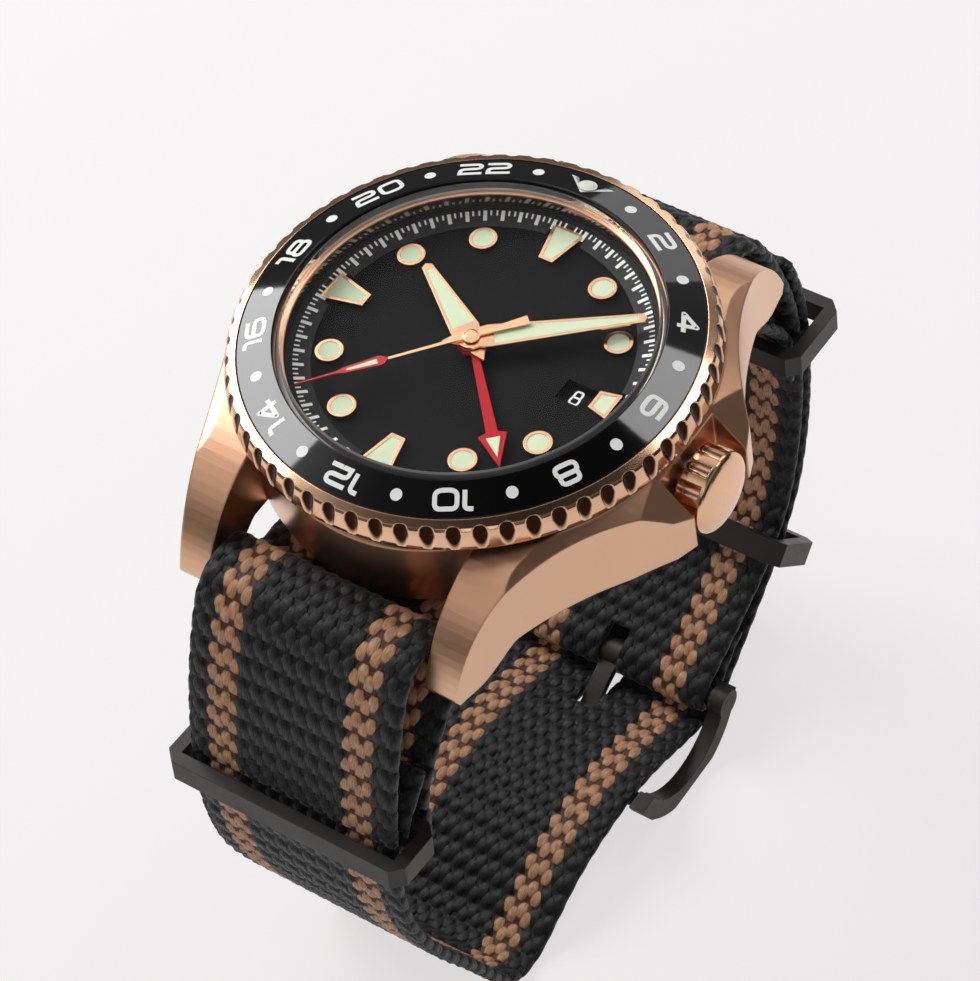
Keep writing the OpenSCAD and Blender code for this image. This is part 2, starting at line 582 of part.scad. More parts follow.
// ---------- movement frame ----------
stem_slot = [3.6, 2.6];
module stem_bore(r) translate([8, 0, -crown_z]) rotate([0, 90, 0]) cylinder(h = 12, r = r);
module main_plate() color(brass) head() difference() {
    union() {
        disc(plate_r, plate_bottom, plate_top);
        ring(plate_r, 11.4, frame_bottom, plate_bottom);
        ring(plate_r, 12.4, plate_top, -dial_t - seat_gap);
        ring(12.45, 11.9, plate_top, -0.84);
        // posts of the dial-side wheels
        translate(minute_wheel_at) disc(0.1, plate_top - 0.2, -0.95);
        translate(date_at * [cos(date_dir), sin(date_dir)]) disc(0.15, plate_top - 0.2, -0.8);
        // foot of the pallet bridge
        translate(pallet_foot) disc(0.7, -5.18, plate_bottom);
    }
    disc(tube_out + fit, -9, 1);
    for (p = [third_at, escape_at, pallet_at, balance_at]) translate(p) disc(pivot_r + fit, -9, plate_top - 0.3);
    translate(barrel_at) disc(0.5 + fit, -9, plate_top - 0.2);
    stem_bore(stem_r + fit);
    translate([8.2, -stem_slot.y / 2, -6.9]) cube([stem_slot.x, stem_slot.y, 3.5]);
}
pallet_foot = [3.3, -7.7];
module pallet_bridge() color(steel) head() difference() {
    translate([0, 0, -5.5]) linear_extrude(0.3) {
        bar_2d(pallet_at, pallet_foot, 0.9);
        translate(pallet_foot) circle(r = 0.7);
    }
    translate(pallet_at) disc(pivot_r + 0.03, -6, -5);
}
cock_foot = [-3.0, -11.7];
post_r = 1.0;
module train_bridge() color(steel) head() difference() {
    union() {
        translate([0, 0, bridge_bottom]) linear_extrude(bridge_top - bridge_bottom) difference() {
            circle(r = 12.6);
            translate(balance_at) circle(r = balance_r + 0.5);
            translate(balance_at) rotate(-105) translate([0, -4.4]) square([9, 8.8]);
        }
        disc(post_r, bridge_bottom - 0.82, bridge_bottom + 0.1);
    }
    disc(arbor_r + 0.03, -6.9, -5);
    for (p = [third_at, escape_at]) translate(p) disc(pivot_r + 0.03, -6.98, -6);
    translate(barrel_at) disc(0.5 + fit, -7.05, -6);
    disc(0.3, -9, -7.3);
}
module balance_cock() color(steel) head() difference() {
    union() {
        translate([0, 0, bridge_bottom]) linear_extrude(0.45) intersection() {
            bar_2d(balance_at, cock_foot, 2.2);
            circle(r = 12.6);
        }
        translate([0, 0, bridge_bottom]) linear_extrude(bridge_top - bridge_bottom) intersection() {
            translate(cock_foot) circle(r = 1.4);
            difference() {
                circle(r = 12.6);
                circle(r = 11.42);
            }
        }
    }
    translate(balance_at) disc(pivot_r + 0.03, -7.05, -6);
}
ring_hole_r = 0.9;
module movement_ring() color([0.75, 0.75, 0.75]) head() difference() {
    ring(cavity_r - 0.08, plate_r + fit, frame_bottom, -dial_t - seat_gap);
    translate([10, 0, -crown_z]) rotate([0, 90, 0]) cylinder(h = 12, r = ring_hole_r);
    for (i = [0 : 2]) rotate(i * 120 + 75) translate([14.4, 0, frame_bottom - 1]) cylinder(h = 2.2, r = 0.5);
}
module casing_clamps() color(steel) head() for (i = [0 : 2]) rotate(i * 120 + 75)
    translate([0, 0, frame_bottom - 0.27]) difference() {
        translate([12.66, -0.9, 0]) cube([2.7, 1.8, 0.25]);
        translate([14.4, 0, -1]) cylinder(h = 3, r = 0.5);
    }
module movement_screws() color(steel) head() {
    for (i = [0 : 2]) rotate(i * 120 + 75) translate([14.4, 0, 0]) {
        disc(0.48, frame_bottom - 0.3, frame_bottom + 1);
        difference() {
            disc(0.8, frame_bottom - 0.67, frame_bottom - 0.29);
            translate([-1, -0.1, frame_bottom - 1.5]) cube([2, 0.2, 1]);
        }
    }
    // the screw that keeps the rotor on its post
    difference() {
        union() {
            disc(0.28, -8.1, -7.4);
            disc(1.4, -8.25, bridge_bottom - 0.84);
        }
        translate([-2, -0.12, -8.6]) cube([4, 0.24, 0.5]);
    }
}
rotor_r = 12.4;
module rotor() color(steel) head() difference() {
    union() {
        disc(1.9, -7.95, -7.45);
        translate([0, 0, -7.85]) linear_extrude(0.25) intersection() {
            circle(r = rotor_r);
            translate([-20, 0]) square([40, 20]);
        }
        rotate_extrude(angle = 180) translate([10.4, -9.1]) square([rotor_r - 10.4, 1.65]);
    }
    disc(post_r + fit, -9, -7);
}

// ---------- strap ----------
layer = strap_t + layer_gap;
wrap_r = bar_r + fit + strap_t / 2;
hinge_y = 12.6;
hinge_z = -58.4;
hinge_r = 0.75;
loop_r = hinge_r + fit + strap_t / 2;
ring_half = strap_w / 2 + 0.4;
// from over a spring bar down one side of the wrist loop, written for 12 o'clock
shoulder = [[bar_y + 0.9, bar_z + wrap_r], [bar_y + 2.4, bar_z + 1.55], [bar_y + 4.4, bar_z + 0.3],
    [bar_y + 6.2, bar_z - 3.1], [31, -15.6], [32.3, -20]];
side_12 = concat(shoulder, [[32.9, -24.5], [32.7, -32], [31.3, -39.5], [28.6, -46], [24, -50.8], [19.2, -53.6],
    [15.6, -55.35]]);
side_6 = concat(shoulder, [[33.3, -25], [33.9, -31.5], [33.1, -38.5], [30.6, -45.4], [27.4, -52], [24.9, -57.4]]);
lobe = [[-23.4, -60.5], [-21.2, -62.3], [-18.4, -62.35], [-15.2, -60.9], [-11.5, -59.2]];
through_buckle = [[-7.5, -58.25], [-3.5, -57.9], [-0.75, -57.9], [3.5, -58.75], [8, -60.25], [12.2, -61.3],
    [15.2, -60.3]];
down_12 = spline(side_12, 5);
// the tail lies outside the 12 o'clock side
outer_side = reversed(down_12);
function tail_gap(i) = layer + 0.06 + 0.12 * max(0, 13 - i);
tail = [for (i = [10 : 3 : 40]) outer_side[i] - tail_gap(i) * normal_at(outer_side, i)];
front_run = spline(concat([for (q = side_6) [-q.x, q.y]], lobe, through_buckle, tail), 5);
over_12 = arc([bar_y, bar_z], wrap_r, 185, 90, 14);
under_z = -back_z - 0.12 - strap_t / 2;
under_case = [[bar_y - 2.2, bar_z - 2.1], [bar_y - 4.3, under_z - 0.05], [bar_y - 7.7, under_z]];
fold_dir = toward([15.6, -55.35], [19.2, -53.6]);
fold = arc([hinge_y, hinge_z], loop_r, 90 + fold_dir, 270 + fold_dir, 14);
fold_end = [[15.1, -58.35], [17.0, -56.5], [19.0, -55.35]];
strap_path = concat(reversed(fold_end), reversed(fold), reversed(down_12), reversed(over_12),
    under_case, flipped(under_case), flipped(reversed(over_12)), front_run);
module band(path) across(strap_w)
    polygon(concat(shifted(path, strap_t / 2), reversed(shifted(path, -strap_t / 2))));
module above_ground() intersection() {
    children();
    translate([-50, -60, -dial_h]) cube([100, 120, 100]);
}
slot_x = 2.7;
module main_strap() color(webbing) head() difference() {
    above_ground() band(strap_path);
    // slots for the tongue: through the fold and through the layer under it
    translate([-slot_x / 2, hinge_y - 3.2, hinge_z - 1.6]) cube([slot_x, 4.95, 4.7]);
    translate([-slot_x / 2, 5.9, -62.6]) cube([slot_x, 4.4, 3.6]);
}
under_dip = under_z - layer;
// sewn to the main strap at 12 o'clock, and looped around the front keeper at 6 o'clock
under_path = [[31.25, -30.5], [31.5, -27.2], [31.25, -24.6], [29.35, -21.3], [26.2, -17.9], [22.4, -14.9],
    [17.5, under_dip - 0.35], [10, under_dip], [-10, under_dip], [-17.5, under_dip - 0.35], [-22.3, -15.3],
    [-25.8, -19.2], [-28, -22.6], [-28.62, -25], [-28.7, -27.2], [-29.4, -28.15], [-30.3, -28.45],
    [-31.2, -28.1], [-31.88, -27.1], [-31.8, -25], [-30.8, -23.1], [-29.4, -21.7], [-27.9, -19.8]];
module under_strap() color(webbing) head() band(spline(under_path, 5));
module keeper_2d(inner, wall) difference() {
    cut = 1.1;
    w = inner.x / 2 + wall;
    h = inner.y / 2 + wall;
    polygon([[-w + cut, -h], [w - cut, -h], [w, -h + cut], [w, h - cut], [w - cut, h], [-w + cut, h],
        [-w, h - cut], [-w, -h + cut]]);
    square(inner, center = true);
}
// A flat ring around the strap: at (Y, Z), its opening in Y, turned about X
module keeper(at, opening, lean) translate([0, at.x, at.y]) rotate([lean, 0, 0])
    linear_extrude(keeper_len, center = true) keeper_2d([2 * ring_half, opening], keeper_wall);
hardware = [0.2, 0.2, 0.2];
float_opening = 5.8;
upper_opening = 6.1;
front_opening = 3.6;
front_at = [-32.7, -26];
upper_at = [33.55, -26.2];
float_at = [26.7, -50.9];
module keeper_front() color(hardware) head() keeper(front_at, front_opening, -5);
module keeper_upper() color(hardware) head() keeper(upper_at, upper_opening, -1.5);
module keeper_floating() color(hardware) head() keeper(float_at, float_opening, -46.2);

// ---------- buckle ----------
buckle_at = [5.6, -54.8];
buckle_mid = norm([hinge_y, hinge_z] - buckle_at);
arm_h = 2;
cross_y = -0.75;
cross_z = -59.45;
arm_w = 1.6;
arm_x = ring_half + 0.05;
module arm_2d() difference() {
    intersection() {
        translate(buckle_at) circle(r = buckle_mid + arm_h / 2);
        translate([-3.2, -dial_h]) square([18.5, 5.6]);
    }
    translate(buckle_at) circle(r = buckle_mid - arm_h / 2);
}
module buckle_frame() color(hardware) head() difference() {
    union() {
        for (s = [-1, 1]) translate([s * (arm_x + arm_w / 2), 0, 0]) across(arm_w) {
            arm_2d();
            translate([hinge_y, hinge_z]) circle(r = 1.5);
            translate([cross_y, cross_z]) circle(r = 1.1);
        }
        translate([0, cross_y, cross_z]) rotate([0, 90, 0]) cylinder(h = 2 * arm_x + 1, r = 0.78, center = true);
    }
    translate([0, hinge_y, hinge_z]) rotate([0, 90, 0]) cylinder(h = 40, r = hinge_r + fit, center = true);
}
module buckle_bar() color(hardware) head() translate([0, hinge_y, hinge_z]) rotate([0, 90, 0])
    cylinder(h = 2 * (arm_x + arm_w), r = hinge_r, center = true);
tongue_path = [[12.1, -58.45], [9.4, -59.6], [7.4, -60.9], [5.6, -61.3], [2, -61.0], [-2.0, -60.75]];
tongue_x = 1.8;
tongue_t = 0.9;
module buckle_tongue() color(hardware) head() difference() {
    union() {
        across(tongue_x + 0.4) translate([hinge_y, hinge_z]) circle(r = hinge_r + fit + 0.65);
        across(tongue_x) polygon(concat(shifted(spline(tongue_path, 4), tongue_t / 2),
            reversed(shifted(spline(tongue_path, 4), -tongue_t / 2))));
    }
    translate([0, hinge_y, hinge_z]) rotate([0, 90, 0]) cylinder(h = 40, r = hinge_r + fit, center = true);
}

case_middle();
case_back();
case_back_gasket();
crystal();
crystal_gasket();
rehaut_ring();
bezel_ring();
bezel_insert();
bezel_lume_pip();
bezel_spring();
crown_tube();
crown();
crown_gasket();
winding_stem();
sliding_pinion();
winding_pinion();
spring_bar_tubes();
spring_bar_pins();
dial();
minute_track_ring();
hour_marker_frames();
hour_marker_lume();
gmt_hand();
gmt_hand_lume();
hour_hand();
hour_hand_lume();
minute_hand();
minute_hand_lume();
second_hand();
second_hand_lume();
date_disc();
date_driving_wheel();
gmt_wheel();
hour_wheel();
minute_wheel();
cannon_pinion();
movement_ring();
casing_clamps();
movement_screws();
main_plate();
train_bridge();
balance_cock();
pallet_bridge();
barrel();
centre_wheel();
third_wheel();
fourth_wheel();
escape_wheel();
pallet_fork();
balance_wheel();
hairspring();
rotor();
main_strap();
under_strap();
keeper_front();
keeper_upper();
keeper_floating();
buckle_frame();
buckle_bar();
buckle_tongue();
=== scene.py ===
"""Looks of a dive watch on a woven strap: finishes, printing and webbing over the fixed metal frame.

Sizes are millimetres in the watch's own frame: X towards the crown, Y towards 12 o'clock and Z out of
the dial, whose face is at z = 0. The row frame is in metres, with the ground at zero and its origin in
the middle of the strap's seat.
"""

from __future__ import annotations

import json
import logging
import math
from dataclasses import dataclass, field
from enum import Enum
from typing import Any, Sequence

import bpy
import numpy as np
from mathutils import Matrix

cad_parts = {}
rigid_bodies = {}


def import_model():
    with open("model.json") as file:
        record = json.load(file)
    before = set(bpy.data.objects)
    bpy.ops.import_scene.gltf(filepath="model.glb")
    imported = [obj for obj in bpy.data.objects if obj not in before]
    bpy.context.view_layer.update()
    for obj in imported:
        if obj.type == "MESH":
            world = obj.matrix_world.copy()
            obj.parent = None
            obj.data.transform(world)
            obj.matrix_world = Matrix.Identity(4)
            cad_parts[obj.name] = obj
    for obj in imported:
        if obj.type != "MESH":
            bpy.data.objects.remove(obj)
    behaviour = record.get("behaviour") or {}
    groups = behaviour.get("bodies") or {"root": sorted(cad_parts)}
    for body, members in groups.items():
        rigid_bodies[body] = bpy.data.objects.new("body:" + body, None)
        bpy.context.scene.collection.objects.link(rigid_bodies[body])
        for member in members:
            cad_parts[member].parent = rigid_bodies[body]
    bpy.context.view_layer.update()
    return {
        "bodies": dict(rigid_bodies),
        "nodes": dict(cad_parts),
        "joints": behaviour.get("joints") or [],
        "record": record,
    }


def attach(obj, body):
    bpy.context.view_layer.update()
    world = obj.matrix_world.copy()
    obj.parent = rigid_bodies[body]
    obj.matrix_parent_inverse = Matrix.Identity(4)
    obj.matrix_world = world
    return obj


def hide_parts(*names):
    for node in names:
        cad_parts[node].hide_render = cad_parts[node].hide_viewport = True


LOG = logging.getLogger("dive_watch")
Array = np.ndarray
Colour = tuple[float, float, float]
Place = tuple[float, float, float]

# Metres in a millimetre, then the dial's place over the middle of the strap's seat.
MM = 0.001
DIAL_HEIGHT = 63.0
SEAT_TO_DIAL = 19.7

# The weave's two rows of bumps, in shares of a cell: a row's shift across and its middle along. A bump
# reaches as far from its middle as makes the distance times BUMP_ACROSS or BUMP_ALONG one.
ROWS = ((0.0, 1 / 3), (0.5, 2 / 3))
BUMP_ACROSS = 2.6
BUMP_ALONG = 2.45
# Whole cells added before a fraction is taken, so that every distance in the weave is above zero.
CELLS_BEFORE = 100.0


# ---------- shapes ----------
def linear(colour: Sequence[float]) -> tuple[float, float, float, float]:
    """Turns a display colour of 0 to 255 into the linear colour that shaders take."""
    c = np.asarray(colour, dtype=float) / 255.0
    low = c / 12.92
    high = ((c + 0.055) / 1.055) ** 2.4
    r, g, b = np.where(c <= 0.04045, low, high)
    return (float(r), float(g), float(b), 1.0)


def placed(points: Array) -> Array:
    """Watch-frame millimetres to row-frame metres: moved by the dial's place over the seat, times 0.001."""
    return (np.asarray(points, dtype=float) + (0.0, SEAT_TO_DIAL, DIAL_HEIGHT)) * MM


def put(name: str, data: bpy.types.ID) -> bpy.types.Object:
    """Makes an object of a mesh, lamp or camera and links it to the scene."""
    made = bpy.data.objects.new(name, data)
    bpy.context.scene.collection.objects.link(made)
    return made


def pose(x: Any, y: Any, z: Any, at: Place) -> Matrix:
    """The matrix of an object at a place, with its own axes along x, y and z."""
    turn = np.eye(4)
    turn[:3, 0], turn[:3, 1], turn[:3, 2], turn[:3, 3] = x, y, z, at
    return Matrix(turn.tolist())


def new_mesh(name: str, verts: Array, faces: Array | list, smooth: bool = True) -> bpy.types.Object:
    """Makes a mesh object from vertices in watch-frame millimetres.

    Args:
        name: the piece's name.
        verts: (n, 3) array.
        faces: (m, k) array or list of index tuples, anticlockwise from outside.
        smooth: whether the faces are shaded smooth.

    Returns:
        The object, linked to the scene, at the origin.
    """
    mesh = bpy.data.meshes.new(name)
    rows = [tuple(map(int, f)) for f in faces] if isinstance(faces, list) else faces.tolist()
    mesh.from_pydata(placed(verts).tolist(), [], rows)
    mesh.polygons.foreach_set("use_smooth", np.full(len(mesh.polygons), smooth))
    mesh.update()
    return put(name, mesh)


def apart(line: Array, least: float) -> Array:
    """The points of a line that lie farther than least from the one before."""
    return line[np.r_[True, np.linalg.norm(np.diff(line, axis=0), axis=1) > least]]


def rounded_line(points: Sequence[tuple[float, float]], radius: float, steps: int = 6) -> Array:
    """A line through points with each inner corner replaced by a curve.

    The curve is a quadratic Bezier from radius before the corner to radius after it.

    Args:
        points: the corners.
        radius: how far from a corner its curve starts.
        steps: segments in each curve.

    Returns:
        (n, 2) array.
    """
    p = np.asarray(points, dtype=float)
    out = [p[0]]
    t = np.linspace(0, 1, steps + 1)[:, None]
    for before, corner, after in zip(p[:-2], p[1:-1], p[2:]):
        d0, d1 = np.linalg.norm(before - corner), np.linalg.norm(after - corner)
        a = corner + (before - corner) * min(radius, d0 / 2) / d0
        b = corner + (after - corner) * min(radius, d1 / 2) / d1
        out.extend((1 - t) ** 2 * a + 2 * t * (1 - t) * corner + t**2 * b)
    out.append(p[-1])
    return np.array(out)


def ribbon(line: Array, width: float) -> tuple[Array, Array]:
    """A flat band of a width along a line, as points each side of it.

    Args:
        line: (n, 2) points.
        width: the band's width.

    Returns:
        ((2n, 2) points, (n - 1, 4) quads), anticlockwise.
    """
    line = apart(line, 1e-6)
    step = np.gradient(line, axis=0)
    step /= np.linalg.norm(step, axis=1)[:, None]
    side = np.stack([-step[:, 1], step[:, 0]], axis=1) * width / 2
    pts = np.concatenate([line - side, line + side])
    n = len(line)
    i = np.arange(n - 1)
    return pts, np.stack([i, i + 1, i + 1 + n, i + n], axis=1)


def catmull(points: Array, steps: int) -> Array:
    """The smooth curve through points, steps for each stretch: the Catmull-Rom cubic of four neighbours."""
    p = np.asarray(points, dtype=float)
    m = len(p) - 1
    i = np.repeat(np.arange(m), steps)
    t = (np.tile(np.arange(steps), m) / steps)[:, None]
    a, b, c, d = p[np.maximum(i - 1, 0)], p[i], p[i + 1], p[np.minimum(i + 2, m)]
    square, cube = (2 * a - 5 * b + 4 * c - d) / 2, (3 * b - a - 3 * c + d) / 2
    curve = b + t * (c - a) / 2 + t**2 * square + t**3 * cube
    return np.vstack([curve, p[-1:]])


def arc(centre: Sequence[float], radius: float, start: float, end: float, steps: int) -> Array:
    """Points on a circle's arc, with angles in degrees: centre + radius * (cos a, sin a)."""
    a = np.radians(np.linspace(start, end, steps + 1))
    return np.asarray(centre) + radius * np.stack([np.cos(a), np.sin(a)], axis=1)


def clockwise(points: Array, angle: float) -> Array:
    """Turns (n, 3) points about Z by an angle in degrees, clockwise from 12 o'clock."""
    a = math.radians(angle)
    cos, sin = math.cos(a), math.sin(a)
    turn = np.array([[cos, -sin, 0.0], [sin, cos, 0.0], [0.0, 0.0, 1.0]])
    return np.asarray(points) @ turn


@dataclass
class Patchwork:
    """Flat shapes gathered into one mesh."""

    verts: list[Array] = field(default_factory=list)
    faces: list[tuple[int, ...]] = field(default_factory=list)
    count: int = 0

    def add(self, points: Array, faces: Array | list) -> None:
        """Adds points and the faces between them."""
        self.verts.append(np.asarray(points, dtype=float))
        self.faces.extend(tuple(int(k) + self.count for k in f) for f in faces)
        self.count += len(points)

    def build(self, name: str) -> bpy.types.Object:
        """Makes the mesh object of everything added."""
        return new_mesh(name, np.vstack(self.verts), self.faces, smooth=False)


class Figures:
    """Numerals drawn as bands of even width on a box of 1 by 1.3, with rounded corners.

    LINES holds each figure's bands: the corners of a centre line and how far from a corner its curve starts.
    A 1 takes the share NARROW of the width.
    """

    HEIGHT = 1.3
    NARROW = 0.34
    LINES: dict[str, list[tuple[list[tuple[float, float]], float]]] = {
        "0": [([(0.5, 1.3), (0, 1.3), (0, 0), (1, 0), (1, 1.3), (0.5, 1.3)], 0.42)],
        "1": [([(-0.05, 1.3), (NARROW, 1.3), (NARROW, 0)], 0.3)],
        "2": [
            ([(-0.05, 1.3), (1, 1.3), (1, 0.66), (0.02, 0.66), (0.02, 0)], 0.3),
            ([(-0.1, 0), (1.05, 0)], 0.0),
        ],
        "3": [
            ([(0, 1.3), (1, 1.3), (1, 0.66), (0.3, 0.66)], 0.3),
            ([(0.3, 0.66), (1, 0.66), (1, 0), (0, 0)], 0.3),
        ],
        "4": [([(0.76, -0.1), (0.76, 1.3), (0, 0.34), (1.14, 0.34)], 0.05)],
        "5": [([(1, 1.3), (0, 1.3), (0, 0.74), (1, 0.74), (1, 0), (0, 0)], 0.28)],
        "6": [([(0.95, 1.3), (0, 1.3), (0, 0), (1, 0), (1, 0.76), (0.05, 0.76)], 0.36)],
        "7": [([(0, 1.3), (1, 1.3), (0.35, 0)], 0.05)],
        "8": [
            ([(0.07, 0.73), (0.07, 1.3), (0.93, 1.3), (0.93, 0.73)], 0.28),
            ([(0.5, 0.68), (0, 0.68), (0, 0), (1, 0), (1, 0.68), (0.5, 0.68)], 0.3),
        ],
        "9": [([(0.05, 0), (1, 0), (1, 1.3), (0, 1.3), (0, 0.54), (0.95, 0.54)], 0.36)],
    }

    def __init__(self, width: float, height: float, stroke: float, gap: float) -> None:
        """Keeps a numeral's width, height, stroke and the gap between two, in millimetres."""
        self.width = width
        self.height = height
        self.stroke = stroke
        self.gap = gap

    def advance(self, figure: str) -> float:
        """How much room a figure's centre line takes."""
        return self.width * (self.NARROW if figure == "1" else 1.0)

    def draw(self, text: str) -> tuple[Array, list[tuple[int, ...]]]:
        """Draws a number centred on the origin.

        Args:
            text: the figures.

        Returns:
            ((n, 2) points, faces).
        """
        room = [self.advance(c) for c in text]
        x = -(sum(room) + (len(text) - 1) * (self.gap + self.stroke)) / 2
        pts: list[Array] = []
        faces: list[tuple[int, ...]] = []
        count = 0
        for figure, wide in zip(text, room):
            for corners, curve in self.LINES[figure]:
                line = rounded_line(corners, curve)
                line = (line - (0.0, self.HEIGHT / 2)) * (self.width, self.height / self.HEIGHT)
                band, quads = ribbon(line + (x, 0.0), self.stroke)
                pts.append(band)
                faces.extend(tuple(q + count) for q in quads)
                count += len(band)
            x += wide + self.gap + self.stroke
        return np.vstack(pts), faces


# ---------- shader graph ----------
class Graph:
    """A node tree with short ways to add and join nodes."""

    def __init__(self, tree: bpy.types.NodeTree) -> None:
        """Keeps the tree."""
        self.tree = tree

    def add(self, kind: str, *sources: Any, **settings: Any) -> bpy.types.Node:
        """Adds a node.

        Args:
            kind: the node's type without the ShaderNode prefix.
            sources: for each input in order, a socket to join, a value, or None to leave it.
            settings: attributes of the node.

        Returns:
            The node.
        """
        node = self.tree.nodes.new("ShaderNode" + kind)
        for key, value in settings.items():
            setattr(node, key, value)
        for socket, source in zip(node.inputs, sources):
            self.feed(socket, source)
        return node

    def feed(self, socket: bpy.types.NodeSocket, source: Any) -> None:
        """Joins a socket to a source, or sets its value."""
        if isinstance(source, bpy.types.NodeSocket):
            self.tree.links.new(source, socket)
        elif source is not None:
            socket.default_value = source

    def math(self, operation: str, a: Any, b: Any = None, c: Any = None, clamp: bool = False) -> Any:
        """A Math node's output."""
        return self.add("Math", a, b, c, operation=operation, use_clamp=clamp).outputs[0]

    def vector(self, operation: str, a: Any, b: Any = None) -> bpy.types.Node:
        """A Vector Math node."""
        return self.add("VectorMath", a, b, operation=operation)

    def ramp(self, value: Any, low: float, high: float, to_low: float = 0.0, to_high: float = 1.0) -> Any:
        """A smooth step of a value between two limits."""
        smooth = {"interpolation_type": "SMOOTHSTEP"}
        return self.add("MapRange", value, low, high, to_low, to_high, **smooth).outputs[0]

    def mix(self, factor: Any, a: Any, b: Any) -> Any:
        """Mixes two colours, whose inputs and output come after those for numbers and vectors."""
        node = self.tree.nodes.new("ShaderNodeMix")
        node.data_type = "RGBA"
        self.feed(node.inputs[0], factor)
        self.feed(node.inputs[6], a)
        self.feed(node.inputs[7], b)
        return node.outputs[2]

    def group(self, tree: bpy.types.NodeTree, **inputs: Any) -> bpy.types.Node:
        """Places a node group with the named inputs."""
        node = self.tree.nodes.new("ShaderNodeGroup")
        node.node_tree = tree
        self.fill(node, **inputs)
        return node

    def fill(self, node: bpy.types.Node, **inputs: Any) -> None:
        """Feeds a node's inputs by name, with an underscore for each space."""
        for key, value in inputs.items():
            self.feed(node.inputs[key.replace("_", " ")], value)

    def shaded(self, colour: Colour, shade: Any) -> Any:
        """A display colour made lighter or darker by a factor."""
        node = self.vector("SCALE", linear(colour)[:3])
        self.fill(node, Scale=shade)
        return node.outputs[0]

    def first(self, kind: str) -> bpy.types.Node:
        """The tree's node of a type that it has once."""
        return next(n for n in self.tree.nodes if n.type == kind)


def open_group(name: str, inputs: dict[str, str], outputs: dict[str, str]) -> tuple[Graph, Any, Any]:
    """Makes an empty shader node group.

    Args:
        name: the group's name.
        inputs: input names and their socket kinds (Float, Vector or Color).
        outputs: output names and their socket kinds.

    Returns:
        (graph, input node, output node).
    """
    tree = bpy.data.node_groups.new(name, "ShaderNodeTree")
    for label, kind in inputs.items():
        tree.interface.new_socket(label, in_out="INPUT", socket_type="NodeSocket" + kind)
    for label, kind in outputs.items():
        tree.interface.new_socket(label, in_out="OUTPUT", socket_type="NodeSocket" + kind)
    return Graph(tree), tree.nodes.new("NodeGroupInput"), tree.nodes.new("NodeGroupOutput")


